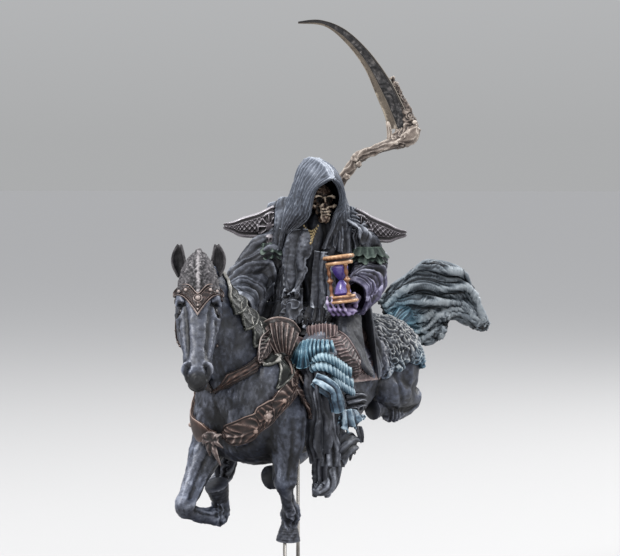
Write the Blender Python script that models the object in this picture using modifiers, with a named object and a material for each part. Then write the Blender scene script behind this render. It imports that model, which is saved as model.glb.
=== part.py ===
"""Grim reaper on a leaping horse: a painted cast figurine on two steel rods in a low turned plinth.

The figure is laid out in figure units (one millimetre at the nominal height), X to the horse's left, Y towards
its tail, Z up from the plinth's underside. Each cast piece is a union of lofts, sheets and balls that is fused
into one skin and thinned out to a few thousand facets.
"""

import math

import bmesh
import bpy
from mathutils import Matrix, Vector
from mathutils.bvhtree import BVHTree

MM = 0.001

# Driving dimensions, in metres.
FIGURE_HEIGHT = 128 * MM  # sole of the lowest hoof to the top of the scythe
HOOF_LIFT = 11.5 * MM  # plinth top to the sole of the lowest hoof
PLINTH_DIAMETER = 84 * MM
PLINTH_HEIGHT = 12 * MM
PLINTH_STEP = 3 * MM  # how far the top is smaller than the foot, all round
ROD_DIAMETER = 0.9 * MM
ROD_SOCKET_DEPTH = 7 * MM  # how deep each rod stands in the plinth
BELLY_SOCKET_DEPTH = 6 * MM  # how deep the long rod enters the belly
HOOF_SOCKET_DEPTH = 2.4 * MM  # how deep the short rod enters the hoof
ROD_CLEARANCE = 0.1 * MM  # radial, and at the end of each socket
CAST_GAP = 0.3 * MM  # between two castings that meet
SLIVER = 0.002 * MM  # edges shorter than this are closed up

# The figure's own proportions, in figure units: every place and size below is laid out on them.
SOLE_LEVEL = 23.5
SCYTHE_TOP = 151.5
UNIT = FIGURE_HEIGHT / (SCYTHE_TOP - SOLE_LEVEL)
FIGURE_BASE = PLINTH_HEIGHT + HOOF_LIFT

# How finely each casting is fused, in figure units, and its share of the facets.
HORSE_GRAIN, HORSE_FACETS = 0.75, 2900
RIDER_GRAIN, RIDER_FACETS = 0.62, 2350
TAIL_GRAIN, TAIL_FACETS = 0.6, 600
PLATE_GRAIN, PLATE_FACETS = 0.35, 260

X_AXIS = Vector((1, 0, 0))
UP = Vector((0, 0, 1))


def at(x, y, z):
    """A place in figure units as a point in metres."""
    return Vector((x * UNIT, y * UNIT, (z - SOLE_LEVEL) * UNIT + FIGURE_BASE))


def heading(degrees):
    """(forward, left) unit vectors of something that faces this far round from -Y towards +X."""
    turn = math.radians(degrees)
    return Vector((math.sin(turn), -math.cos(turn), 0)), Vector((math.cos(turn), math.sin(turn), 0))


def clear_scene():
    for old in list(bpy.data.objects):
        bpy.data.objects.remove(old)


def make_material(name, colour, roughness, metallic=0.0):
    material = bpy.data.materials.new(name)
    material.use_nodes = True
    shader = material.node_tree.nodes["Principled BSDF"]
    shader.inputs["Base Color"].default_value = (*colour, 1)
    shader.inputs["Roughness"].default_value = roughness
    shader.inputs["Metallic"].default_value = metallic
    return material


def new_object(name, bm):
    bmesh.ops.recalc_face_normals(bm, faces=bm.faces)
    mesh = bpy.data.meshes.new(name)
    bm.to_mesh(mesh)
    bm.free()
    return bpy.data.objects.new(name, mesh)


def along(rows, share):
    """The row of numbers at this share of the list, on a smooth curve through all of them."""
    place = min(max(share, 0.0), 1.0) * (len(rows) - 1)
    i = min(int(place), len(rows) - 2)
    f = place - i
    before, here, there, after = (rows[min(max(i + k, 0), len(rows) - 1)] for k in (-1, 0, 1, 2))
    return [
        0.5 * (2 * b + (c - a) * f + (2 * a - 5 * b + 4 * c - d) * f * f + (3 * b - a - 3 * c + d) * f**3)
        for a, b, c, d in zip(before, here, there, after)
    ]


def loft(stations, side=X_AXIS, steps=4, sides=14, pleats=0, depth=0.0, swirl=0.0, flat=2.0):
    """A closed skin through stations ((x, y, z), half width, half depth), the width lying along side.

    pleats and depth flute it, more strongly towards its end, and flat over 2 squares its corners."""
    rows = [[*place, width, thick] for place, width, thick in stations]
    count = (len(rows) - 1) * steps
    path = [along(rows, i / count) for i in range(count + 1)]
    bm = bmesh.new()
    rings = []
    for i, (x, y, z, width, thick) in enumerate(path):
        ahead, behind = path[min(i + 1, count)], path[max(i - 1, 0)]
        tangent = (Vector(ahead[:3]) - Vector(behind[:3])).normalized()
        across = (side - tangent * side.dot(tangent)).normalized()
        front = tangent.cross(across)
        ring = []
        for k in range(sides):
            angle = 2 * math.pi * k / sides
            c, s = math.cos(angle), math.sin(angle)
            flute = 1 + depth * (i / count) * math.cos(pleats * angle + swirl * i / count)
            c, s = (math.copysign(abs(v) ** (2 / flat), v) for v in (c, s))
            offset = across * (width * c * flute) + front * (thick * s * flute)
            ring.append(bm.verts.new(at(x, y, z) + offset * UNIT))
        rings.append(ring)
    for low, high in zip(rings, rings[1:]):
        for k in range(sides):
            bm.faces.new((low[k], low[(k + 1) % sides], high[(k + 1) % sides], high[k]))
    bm.faces.new(rings[0])
    bm.faces.new(rings[-1])
    return new_object("loft", bm)


def sheet(surface, columns, rows, thickness):
    """A cloth or plate: surface(u, v), in figure units, thickened half to each side."""
    grid = [[Vector(surface(u / columns, v / rows)) for v in range(rows + 1)] for u in range(columns + 1)]
    bm = bmesh.new()
    layers = [[], []]
    for u in range(columns + 1):
        for layer in layers:
            layer.append([])
        for v in range(rows + 1):
            du = grid[min(u + 1, columns)][v] - grid[max(u - 1, 0)][v]
            dv = grid[u][min(v + 1, rows)] - grid[u][max(v - 1, 0)]
            normal = du.cross(dv).normalized() * (thickness / 2)
            for layer, sign in zip(layers, (1, -1)):
                layer[u].append(bm.verts.new(at(*(grid[u][v] + normal * sign))))
    for layer in layers:
        for u in range(columns):
            for v in range(rows):
                bm.faces.new((layer[u][v], layer[u + 1][v], layer[u + 1][v + 1], layer[u][v + 1]))
    front, back = layers
    for u in range(columns):
        for v in (0, rows):
            bm.faces.new((front[u][v], front[u + 1][v], back[u + 1][v], back[u][v]))
    for v in range(rows):
        for u in (0, columns):
            bm.faces.new((front[u][v], front[u][v + 1], back[u][v + 1], back[u][v]))
    return new_object("sheet", bm)


def ball(place, radii, axes=None):
    """An ellipsoid, its radii along axes (three unit vectors) or along X, Y and Z."""
    bm = bmesh.new()
    bmesh.ops.create_uvsphere(bm, u_segments=14, v_segments=9, radius=1)
    frame = Matrix(axes).transposed() if axes else Matrix.Identity(3)
    scale = Matrix.Diagonal([r * UNIT for r in radii])
    bm.transform((frame @ scale).to_4x4())
    bmesh.ops.translate(bm, verts=bm.verts, vec=at(*place))
    return new_object("ball", bm)


def evaluated_mesh(obj):
    graph = bpy.context.evaluated_depsgraph_get()
    return bpy.data.meshes.new_from_object(obj.evaluated_get(graph), depsgraph=graph)


def apply_modifiers(obj):
    bpy.context.view_layer.update()
    mesh = evaluated_mesh(obj)
    obj.modifiers.clear()
    obj.data = mesh
    return obj


def fuse(name, pieces, grain, smooth=3):
    """All pieces as one skin, with the joins between them softened."""
    bm = bmesh.new()
    for piece in pieces:
        bm.from_mesh(piece.data)
        bpy.data.objects.remove(piece)
    obj = new_object(name, bm)
    bpy.context.scene.collection.objects.link(obj)
    remesh = obj.modifiers.new("Skin", "REMESH")
    remesh.mode = "VOXEL"
    remesh.voxel_size = grain * UNIT
    soften = obj.modifiers.new("Soften", "SMOOTH")
    soften.factor = 0.5
    soften.iterations = smooth
    return apply_modifiers(obj)


def thin_out(obj, facets):
    """Fewer facets, where the form needs them least."""
    obj.data.calc_loop_triangles()
    decimate = obj.modifiers.new("Thin", "DECIMATE")
    decimate.ratio = min(1.0, facets / len(obj.data.loop_triangles))
    decimate.use_collapse_triangulate = True
    return apply_modifiers(obj)


def cut_by(obj, cutter, gap=0.0):
    """Takes cutter, grown by gap, out of obj and keeps the largest body that is left."""
    tool = bpy.data.objects.new("cutter", cutter.data.copy())
    bpy.context.scene.collection.objects.link(tool)
    if gap:
        for vertex, normal in zip(tool.data.vertices, [v.normal.copy() for v in tool.data.vertices]):
            vertex.co += normal * gap
    boolean = obj.modifiers.new("Cut", "BOOLEAN")
    boolean.operation = "DIFFERENCE"
    boolean.solver = "EXACT"
    boolean.use_self = bool(gap)
    boolean.object = tool
    apply_modifiers(obj)
    bpy.data.objects.remove(tool)
    return keep_largest(obj)


def join_exactly(name, pieces):
    """A crisp union of a few machined-looking shapes."""
    first = pieces[0]
    first.name = name
    bpy.context.scene.collection.objects.link(first)
    for piece in pieces[1:]:
        bpy.context.scene.collection.objects.link(piece)
        boolean = first.modifiers.new("Join", "BOOLEAN")
        boolean.operation = "UNION"
        boolean.solver = "EXACT"
        boolean.object = piece
        apply_modifiers(first)
        bpy.data.objects.remove(piece)
    return first


def keep_largest(obj):
    """Drops all but the largest body, and the slivers that a cut leaves."""
    bm = bmesh.new()
    bm.from_mesh(obj.data)
    bmesh.ops.remove_doubles(bm, verts=bm.verts, dist=SLIVER)
    bmesh.ops.dissolve_degenerate(bm, edges=bm.edges, dist=SLIVER)
    bmesh.ops.triangulate(bm, faces=bm.faces)
    left, bodies = set(bm.faces), []
    while left:
        stack, body = [left.pop()], []
        while stack:
            face = stack.pop()
            body.append(face)
            for edge in face.edges:
                if len(edge.link_faces) == 2:
                    beside = [other for other in edge.link_faces if other in left]
                    left.difference_update(beside)
                    stack.extend(beside)
        bodies.append(body)
    bodies.sort(key=len)
    bmesh.ops.delete(bm, geom=[face for body in bodies[:-1] for face in body], context="FACES")
    bm.to_mesh(obj.data)
    bm.free()
    return obj


# The horse's build.
TRUNK = [
    ((0, -33.5, 54), 3, 4),
    ((0, -32, 54.5), 7.5, 8.5),
    ((0, -28, 55.5), 10.5, 12.3),
    ((0, -21, 57), 12, 14.8),
    ((0, -11, 57.5), 12.2, 14.8),
    ((0, 0, 58), 12.8, 13.8),
    ((0, 10, 60), 12.6, 12),
    ((0, 20, 63.8), 11.4, 10),
    ((0, 29, 64.2), 12.2, 11),
    ((0, 36, 63.8), 11, 10.8),
    ((0, 41, 63), 7.5, 8.6),
    ((0, 43.5, 62.5), 3, 4.5),
]
NECK = [
    ((0, -7, 61), 8.5, 12.5),
    ((0, -15, 63.5), 9, 13),
    ((-0.2, -22.5, 68), 8.4, 11.8),
    ((-1, -28, 73.5), 7.2, 9.8),
    ((-2.2, -32, 79.5), 5.8, 8),
    ((-3.3, -34.5, 85.5), 4.8, 6.4),
    ((-3.8, -36, 90), 3.6, 4.6),
]
POLL = Vector((-3.7, -36, 90))
NOSE = Vector((6.8, -50.5, 64.5))
HEAD_AXIS = (NOSE - POLL).normalized()
HEAD_LEFT = heading(math.degrees(math.atan2(NOSE.x - POLL.x, POLL.y - NOSE.y)))[1]
HEAD_FACE = HEAD_AXIS.cross(HEAD_LEFT)
# Down the head from the poll: distance, half width, half depth. The face is one straight line.
HEAD = [
    (0, 3.8, 4.2),
    (4, 5.4, 5.7),
    (8, 6.2, 6.8),
    (12, 6.3, 7.3),
    (15, 5.4, 7.1),
    (18, 4.4, 6.2),
    (21, 3.7, 5.0),
    (24, 3.4, 4.2),
    (27, 3.8, 4.1),
    (29.5, 3.6, 3.7),
    (31, 2.5, 2.7),
    (31.7, 0.9, 1.2),
]
FACE_LINE = 3.6
LEFT_FORE = [
    ((8, -20, 60), 4.6, 7),
    ((9.4, -20, 54), 5.2, 6.4),
    ((10, -20, 48.5), 4.2, 5),
    ((9.9, -20, 43.5), 2.9, 3.5),
    ((9.6, -20, 39.5), 2.6, 3),
    ((8.9, -18.4, 37), 1.8, 2.2),
    ((7.3, -15, 33.2), 1.55, 1.9),
    ((6.2, -12.6, 30.4), 2.1, 2.4),
    ((5.5, -11.9, 28.4), 1.7, 1.9),
    ((5, -11.6, 26.6), 2.2, 2.4),
    ((4.7, -11.5, 23.5), 2.8, 3.1),
]
RIGHT_FOREARM = [
    ((-8, -19, 60), 4.6, 7),
    ((-9.2, -21.5, 52.5), 5, 5.8),
    ((-9.3, -26, 45.5), 4, 4.6),
    ((-9.2, -30.5, 39.3), 2.8, 3.2),
    ((-9, -33.8, 34.8), 2.3, 2.6),
    ((-9, -35.2, 32.9), 2.5, 2.6),
    ((-9, -35.8, 31.8), 1.2, 1.3),
]
RIGHT_SHIN = [
    ((-9, -35, 32.6), 2.1, 2.2),
    ((-9, -30, 30.8), 1.55, 1.9),
    ((-9, -25, 29.7), 1.6, 2),
    ((-8.9, -22, 29.9), 2.1, 2.4),
    ((-8.7, -20.8, 31.4), 1.8, 2),
    ((-8.4, -21.6, 33.8), 2.2, 2.4),
    ((-8.1, -23.4, 37.4), 2.8, 3.1),
]
RIGHT_GASKIN = [
    ((-7, 30, 62), 5, 8.5),
    ((-9.4, 22, 56), 4.6, 7),
    ((-9.8, 17, 51.5), 4, 5),
    ((-9.4, 17, 47), 2.7, 3.3),
    ((-8.8, 18, 43.6), 2.3, 2.8),
    ((-8.6, 18.4, 42.2), 1.2, 1.4),
]
RIGHT_HIND_SHIN = [
    ((-8.8, 17.6, 43.8), 1.9, 2.4),
    ((-8.1, 13, 42), 1.6, 1.9),
    ((-7.2, 7.5, 40.4), 1.6, 1.9),
    ((-6.4, 3, 39.4), 2.1, 2.4),
    ((-5.9, 0.4, 38.9), 1.8, 2),
    ((-5.4, -2.2, 38.4), 2.2, 2.5),
    ((-4.9, -5.4, 37.6), 2.7, 3),
]
LEFT_GASKIN = [
    ((7, 29, 64), 5, 8.5),
    ((9.4, 23.4, 59.6), 4.4, 5),
    ((9.8, 28.5, 57), 3.6, 4),
    ((9.6, 34, 55.8), 2.6, 3),
    ((9.4, 38, 55.2), 2.2, 2.8),
    ((9.3, 39.4, 54.8), 1, 1.3),
]
LEFT_HIND_SHIN = [
    ((9.4, 38, 54.6), 1.9, 2.2),
    ((9.2, 34.5, 52.6), 1.6, 1.9),
    ((8.9, 31, 51.9), 1.6, 1.9),
    ((8.6, 28.2, 52), 2, 2.2),
    ((8.3, 26.4, 53.2), 1.7, 1.9),
    ((7.8, 24.6, 53.6), 2.2, 2.3),
    ((7.2, 21.6, 53.4), 2.7, 2.8),
]


def on_head(left, down, front):
    """A place on the head: to its left, down from the poll, and forward of its axis."""
    return POLL + HEAD_LEFT * left + HEAD_AXIS * down + HEAD_FACE * front


def horse_head():
    pieces = [
        loft(
            [(tuple(on_head(0, down, FACE_LINE - thick)), width, thick) for down, width, thick in HEAD],
            side=HEAD_LEFT,
            steps=2,
            flat=2.2,
        ),
        ball(on_head(0, 29, -3.6), (1.9, 2.4, 1.7), (HEAD_LEFT, HEAD_AXIS, HEAD_FACE)),
        loft(
            [
                (tuple(on_head(0, -3.4, 2.4)), 0.6, 0.6),
                (tuple(on_head(0, -0.8, 2.9)), 2.2, 1.8),
                (tuple(on_head(0, 2.8, 3.4)), 4.2, 1.9),
                (tuple(on_head(0, 6.5, 3.2)), 4.9, 1.3),
            ],
            side=HEAD_LEFT,
        ),
    ]
    for sign in (-1, 1):
        pieces += [
            ball(on_head(3.2 * sign, 11.5, -6), (2.7, 5.6, 4.4), (HEAD_LEFT, HEAD_AXIS, HEAD_FACE)),
            ball(on_head(5.3 * sign, 9.6, 1.2), (1.2, 2, 1.5), (HEAD_LEFT, HEAD_AXIS, HEAD_FACE)),
            ball(on_head(2.9 * sign, 27.6, 1.6), (1.3, 1.7, 1.3), (HEAD_LEFT, HEAD_AXIS, HEAD_FACE)),
            horse_ear(sign),
        ]
    return pieces


def horse_ear(sign):
    lean = 0.4 if sign < 0 else -0.5
    return loft(
        [
            (tuple(on_head(3.7 * sign, 1.4, -1)), 1.5, 1.2),
            (tuple(on_head(4.3 * sign, -0.8, 0.2)), 1.9, 1.3),
            (tuple(on_head(4.3 * sign - lean * 0.5, -3.0, 1.6)), 1.6, 1.1),
            (tuple(on_head(3.7 * sign - lean * 1.5, -5.6, 3.4)), 0.5, 0.5),
        ],
        side=HEAD_LEFT,
        steps=2,
        sides=10,
    )


def horse_body():
    pieces = [
        loft(TRUNK, sides=20, steps=2),
        loft(NECK, sides=16, steps=2),
        loft(LEFT_FORE),
        loft(RIGHT_FOREARM),
        loft(RIGHT_SHIN),
        loft(LEFT_GASKIN),
        loft(LEFT_HIND_SHIN),
        loft(RIGHT_GASKIN),
        loft(RIGHT_HIND_SHIN),
    ]
    for sign in (-1, 1):
        pieces += [
            ball((7.2 * sign, 30.5, 62.5), (6, 9.6, 9.4)),
            ball((7.6 * sign, -23, 60), (5, 6.4, 9.4)),
        ]
    return pieces + horse_head()


class Skin:
    """The bare horse, to lay harness and cloth on."""

    def __init__(self, obj):
        graph = bpy.context.evaluated_depsgraph_get()
        self.tree = BVHTree.FromObject(obj, graph)

    def outward(self, inside, direction, lift):
        """Where the ray from inside leaves the skin, in figure units, and lift above it."""
        start, ray = at(*inside), Vector(direction).normalized()
        place = start
        while True:
            hit = self.tree.ray_cast(place + ray * 1e-6, ray)[0]
            if hit is None:
                break
            place = hit
        place = place + ray * lift * UNIT
        return Vector((place.x, place.y, place.z - FIGURE_BASE + SOLE_LEVEL * UNIT)) / UNIT

    def nearest(self, place, lift):
        """The nearest place on the skin, lifted along its normal."""
        found, normal, _, _ = self.tree.find_nearest(at(*place))
        found = found + normal * lift * UNIT
        return Vector((found.x, found.y, found.z - FIGURE_BASE + SOLE_LEVEL * UNIT)) / UNIT


def band(skin, route, widths, lift, thickness, columns=16):
    """A strap laid on the skin: its route, its half widths and the way that its width runs at each point."""
    rows = [[*place, *way, width] for (place, way), width in zip(route, widths)]

    def surface(u, v):
        x, y, z, wx, wy, wz, width = along(rows, u)
        way = Vector((wx, wy, wz)).normalized() * (2 * v - 1) * width
        return skin.nearest(Vector((x, y, z)) + way, lift)

    return sheet(surface, columns, 4, thickness)


def harness(skin):
    """Breast collar, neck collar, neck plates, brow plate and girth strap."""
    pieces = []
    for sign in (-1, 1):
        pieces += [
            band(
                skin,
                [
                    ((0, -34, 50), (0, 0, 1)),
                    ((6 * sign, -31, 52.5), (-0.4 * sign, 0, 1)),
                    ((10 * sign, -27, 57), (-0.5 * sign, 0, 1)),
                    ((11 * sign, -20, 62.5), (-0.5 * sign, 0, 1)),
                    ((9.5 * sign, -16, 66.5), (-0.3 * sign, 0.4, 1)),
                ],
                [1.6, 2.8, 3.6, 3.0, 1.9],
                0.4,
                1.5,
            ),
            band(
                skin,
                [
                    ((0, -38, 62), (0, -0.3, 1)),
                    ((4 * sign, -35, 64), (0, -0.3, 1)),
                    ((7.5 * sign, -29, 67), (0, -0.6, 1)),
                    ((7.5 * sign, -23, 71.5), (0, -0.8, 1)),
                ],
                [0.9, 1.4, 2, 2.2],
                0.35,
                1.4,
            ),
            band(
                skin,
                [((9 * sign, -16, 66), (0, 1, 0)), ((11.5 * sign, -14.5, 60), (0, 1, 0)), ((12 * sign, -13, 52), (0, 1, 0))],
                [1.5, 1.3, 1.0],
                0.3,
                1.3,
                8,
            ),
        ]
    for place in range(4):
        pieces.append(neck_plate(skin, place / 3))
    pieces.append(ball((0, -33.6, 49.4), (2.4, 1.8, 2.4)))
    return pieces


def neck_plate(skin, share):
    """One lame of the crinet, laid over the crest of the neck."""
    centre = Vector((-2.8, -33, 83)).lerp(Vector((0, -18, 66)), share)
    crest = Vector((0, 0.75, 0.66))
    reach = math.radians(62)

    def surface(u, v):
        angle = (2 * u - 1) * reach
        out = crest * math.cos(angle) + X_AXIS * math.sin(angle)
        slide = Vector((0, 0.66, -0.75)) * (5.2 * (v - 0.5) - 1.2 * math.cos(2 * angle))
        return skin.outward(centre + slide, out, 0.3 + 0.7 * v)

    return sheet(surface, 14, 3, 1.3)


def brow_plate():
    """The V-shaped plate on the forehead."""

    def surface(u, v):
        left = 10.4 * (u - 0.5)
        dip = max(0.0, 1 - abs(left) / 2.6)
        top = 6.3 + 1.5 * max(0.0, 1 - abs(left) / 1.5)
        low = 8.6 + 3.8 * dip
        return on_head(left, top + (low - top) * v, FACE_LINE + 0.5 - 0.075 * left * left)

    return sheet(surface, 16, 3, 1.3)


def saddle(skin):
    """Pommel, cantle, side flaps and the cloth over the croup."""

    def flap(sign):
        def surface(u, v):
            angle = math.radians(20 + 62 * v) * sign
            return skin.outward((0, -13 + 29 * u, 60), (math.sin(angle), 0, math.cos(angle)), 0.5)

        return sheet(surface, 12, 6, 1.6)

    def croup_cloth(u, v):
        back = 13 + 31 * v
        reach = math.radians(88 - 8 * v + 4 * math.sin(9 * v))
        angle = (2 * u - 1) * reach
        out = (math.sin(angle), 0.35 * v * v, math.cos(angle))
        return skin.outward((0, min(back, 38), 62), out, 0.6 + 0.3 * math.sin(23 * angle) * abs(2 * u - 1))

    return [
        ball((0, -11.8, 70.6), (8.8, 3.4, 6.4)),
        ball((0.6, -13.6, 73.6), (5.6, 2.2, 3.6)),
        ball((0, 15.5, 72.2), (9.2, 2.6, 5)),
        flap(-1),
        flap(1),
        sheet(croup_cloth, 26, 10, 1.5),
    ]


def build_horse():
    bare = fuse("horse", horse_body(), HORSE_GRAIN)
    skin = Skin(bare)
    dressed = harness(skin) + saddle(skin) + [brow_plate()]
    bpy.context.scene.collection.objects.unlink(bare)
    return thin_out(fuse("horse", [bare, *dressed], HORSE_GRAIN, smooth=1), HORSE_FACETS)


# The tail streams out in locks that lie in one upright plane.
TAIL_THIN = Vector((0.574, -0.819, 0))
TAIL_LOCKS = [
    [
        ((0, 40, 73), 2.2, 2.2),
        ((-0.6, 45.5, 79.5), 2, 2.8),
        ((0.9, 51.5, 86.4), 1.9, 3),
        ((3.6, 57.4, 87.4), 1.8, 4),
        ((6.8, 62.4, 84.4), 1.7, 4.6),
        ((9.3, 66.2, 79.4), 1.5, 4.4),
        ((10.9, 69, 75), 1.2, 2.4),
        ((11.7, 70.6, 72.6), 0.7, 0.9),
    ],
    [
        ((0, 40, 72.5), 2.2, 2.2),
        ((-3, 45.6, 76.6), 2.1, 3),
        ((-6.8, 48, 79.6), 1.9, 3),
        ((-5.2, 49.2, 83), 1.2, 1.4),
        ((-3, 49.6, 84.4), 0.8, 0.8),
    ],
    [
        ((0, 40.5, 72), 2.2, 2.2),
        ((0.8, 48, 73.6), 2.3, 2.8),
        ((3.4, 55, 73.4), 2, 3.4),
        ((6, 59.2, 76.6), 1.8, 3.4),
        ((8.8, 63.8, 77.8), 1.4, 2.4),
        ((10.4, 66.8, 74.8), 0.8, 1),
    ],
    [
        ((0.5, 42, 71.5), 2, 1.8),
        ((1.6, 49.5, 70.6), 1.8, 1.7),
        ((4.4, 56, 70), 1.5, 1.7),
        ((6.2, 59.4, 71.6), 1.0, 1.1),
    ],
    [
        ((-1, 46, 77), 1.5, 2.6),
        ((1.6, 53.5, 79.6), 1.3, 3.6),
        ((5, 59.6, 80.6), 1.3, 4),
        ((8.4, 65.2, 77), 1.1, 2.8),
    ],
]


def build_tail(horse):
    locks = [loft(lock, side=TAIL_THIN, sides=18, pleats=5, depth=0.2, swirl=1.5) for lock in TAIL_LOCKS]
    tail = thin_out(fuse("horse_tail", locks, TAIL_GRAIN, smooth=2), TAIL_FACETS)
    return cut_by(tail, horse, CAST_GAP)


# The rider sits at an angle, and looks further round.
BODY_FRONT, BODY_LEFT = heading(30)
FACE_FRONT, FACE_LEFT = heading(50)
NECK_BASE = Vector((0.8, 7, 100.5))
SKULL = Vector((3.4, 4.6, 105.4))
CROWN = Vector((0.4, 8.2, 115.6))


def torso():
    return [
        loft(
            [
                ((-0.5, 7, 69), 9, 8),
                ((-0.6, 6.6, 76), 9, 7.6),
                ((-0.2, 6.6, 84), 8.2, 6.2),
                ((0.4, 6.8, 92), 8.8, 6.2),
                ((0.8, 7, 98), 9.6, 5.6),
                ((0.8, 7.2, 101.5), 7.6, 4.6),
                ((1.2, 7, 104), 3.6, 3.6),
            ],
            side=BODY_LEFT,
            sides=24,
            pleats=9,
            depth=0.03,
        )
    ]


def hood():
    """The cowl: a shell round the head that opens towards the face and falls to the shoulders."""
    low, brim = Vector((0.6, 7, 97.4)), 0.66

    def surface(u, v):
        opening = math.radians(66) * max(0.0, 1 - v / brim) ** 0.45
        angle = opening + u * (2 * math.pi - 2 * opening)
        centre = low.lerp(CROWN, v)
        round_off = math.sqrt(max(0.0, 1 - v**4))
        spread = 1 + 0.45 * (1 - v) ** 2
        wide = 6.1 * round_off * spread
        deep = 6.4 * round_off * spread + 2.4 * max(0.0, math.cos(angle)) ** 3 * (1 - abs(v - 0.7))
        fold = 1 + 0.075 * math.sin(11 * angle + 2 * v) * (1 - v)
        place = centre + FACE_LEFT * (math.sin(angle) * wide * fold) + FACE_FRONT * (math.cos(angle) * deep * fold)
        return place - UP * (1.6 * math.cos(angle) * (1 - v))

    return sheet(surface, 30, 12, 1.5)


def mantle():
    """The short cape over the shoulders, with a pleated, ragged hem."""

    def surface(u, v):
        angle = math.radians(38) + u * math.radians(284)
        fall = v * (8 + 1.3 * math.sin(8 * angle) + 0.8 * math.sin(19 * angle))
        wide = 5.6 + 7.2 * min(1.0, v * 1.7) + 0.5 * v * math.sin(13 * angle)
        deep = 4.6 + 3.6 * min(1.0, v * 1.7) + 0.5 * v * math.sin(13 * angle)
        place = NECK_BASE + UP * (2.4 - fall)
        return place + BODY_LEFT * (math.sin(angle) * wide) + BODY_FRONT * (math.cos(angle) * deep)

    return sheet(surface, 36, 6, 1.5)


def skull():
    """A fleshless head, bowed a little."""
    down = (FACE_FRONT * 0.28 - UP).normalized()
    out = FACE_LEFT.cross(down) * -1
    axes = (FACE_LEFT, out, down)

    def bone(left, front, drop, radii):
        return ball(SKULL + FACE_LEFT * left + out * front + down * drop, radii, axes)

    return [
        bone(0, -0.6, -1.6, (3.3, 3.9, 3.5)),
        bone(0, 1.6, 1.4, (2.5, 2.2, 2.6)),
        bone(0, 1.9, 4.1, (2, 2, 1.5)),
        bone(0, 3, -0.9, (2.6, 0.8, 0.7)),
        bone(-2.1, 2.2, 1.1, (0.9, 1, 0.8)),
        bone(2.1, 2.2, 1.1, (0.9, 1, 0.8)),
    ]


def sleeves():
    return [
        loft(
            [
                ((-6.5, 3.2, 98.5), 4, 4),
                ((-8.6, -0.6, 93.5), 4.6, 4.6),
                ((-10, -5.6, 87.5), 5, 5),
                ((-8.8, -11.6, 83.2), 5.2, 5.2),
                ((-7.4, -16.2, 80.4), 5.4, 5.6),
                ((-6.8, -17.8, 79.2), 4.8, 5.4),
            ],
            side=BODY_LEFT,
            sides=20,
            pleats=6,
            depth=0.1,
            swirl=2,
        ),
        loft([((-6.8, -16, 80.4), 1.6, 1.6), ((-5.6, -20.4, 79), 1.4, 1.6), ((-4.8, -23.4, 78.4), 1.5, 2), ((-4.4, -25, 77.4), 0.9, 1.2)]),
        loft(
            [
                ((7, 12, 98.5), 3.8, 3.8),
                ((9.6, 14.4, 93), 4, 4),
                ((11.2, 13.6, 87.6), 4, 4),
                ((12.8, 8.4, 84), 3.8, 4),
                ((13.3, 4.4, 82.6), 3.4, 3.8),
            ],
            side=BODY_LEFT,
            sides=18,
            pleats=5,
            depth=0.1,
            swirl=4,
        ),
        loft([((13.2, 5.5, 82.2), 1.7, 1.7), ((13.6, 1.8, 80.8), 1.5, 1.5), ((14, -0.8, 79.4), 2.6, 1.3), ((14.2, -3, 78.8), 2.2, 1)], side=BODY_LEFT),
    ]


def fingers():
    """Four fingers and a thumb that close round the foot of the hourglass."""
    made = []
    for k in range(4):
        x, y = 12.2 + 0.95 * k, -4.4 + 0.75 * k
        made.append(
            loft([((x + 0.4, y + 1.6, 79), 0.62, 0.62), ((x, y, 79.6), 0.6, 0.6), ((x - 0.5, y - 0.5, 81.2), 0.55, 0.55), ((x - 0.8, y - 0.1, 82.8), 0.4, 0.4)], sides=8, steps=2)
        )
    made.append(loft([((15.6, 1.2, 80.4), 0.7, 0.7), ((16.7, 0.4, 82), 0.6, 0.6), ((16.5, -0.4, 83.8), 0.42, 0.42)], sides=8, steps=2))
    return made


def ragged_panel(top_left, top_right, low_left, low_right, folds, swell):
    """A strip of robe that hangs from two points to two points, with upright folds and a ragged hem."""
    corners = [Vector(p) for p in (top_left, top_right, low_left, low_right)]

    def surface(u, v):
        top = corners[0].lerp(corners[1], u)
        low = corners[2].lerp(corners[3], u) + UP * (0.9 * math.sin(17 * u) + 0.6 * math.sin(31 * u))
        out = BODY_FRONT * (swell * math.sin(math.pi * v) + 0.55 * math.sin(folds * 2 * math.pi * u) * (0.3 + v))
        return top.lerp(low, v) + out

    return sheet(surface, 14, 8, 1.4)


def robe_front():
    return [
        ragged_panel((-7.4, -0.8, 98), (1.6, -1.6, 98.5), (-3.4, -7.4, 82.6), (1.8, -3.8, 84), 2, 1.2),
        ragged_panel((-5.6, -3.8, 84), (1, -3.2, 84), (-5.2, -7.6, 75.8), (0.8, -5, 76.2), 1.5, 0.4),
        ragged_panel((4.6, 0.4, 98), (9.4, 3, 97), (5.6, -3.2, 79.2), (9.6, -0.6, 78.6), 1.5, 0.6),
        loft([((-1, -1, 80), 8, 4.4), ((0, -3.6, 76), 8.6, 4.6), ((0.4, -4, 72.5), 9, 5)], side=BODY_LEFT, sides=20, pleats=7, depth=0.08),
    ]


def cloak():
    """The cloak's back, from the shoulders down over the saddle and the croup."""

    def surface(u, v):
        angle = math.radians(84) + u * math.radians(192)
        drop = min(1.0, v / 0.72)
        trail = max(0.0, (v - 0.72) / 0.28)
        fold = 0.95 * math.sin(13 * angle + 3 * v) * drop
        wide = 8.6 + 4.6 * drop + 2.2 * trail + fold
        deep = 5.6 + 4 * drop + fold + 9 * trail
        centre = Vector((0.6, 7.4, 99.5 - 25.5 * drop - (1.2 + 10 * abs(math.sin(angle)) ** 2) * trail))
        return centre + BODY_LEFT * (math.sin(angle) * wide) + BODY_FRONT * (math.cos(angle) * deep)

    return sheet(surface, 30, 14, 1.5)


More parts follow.
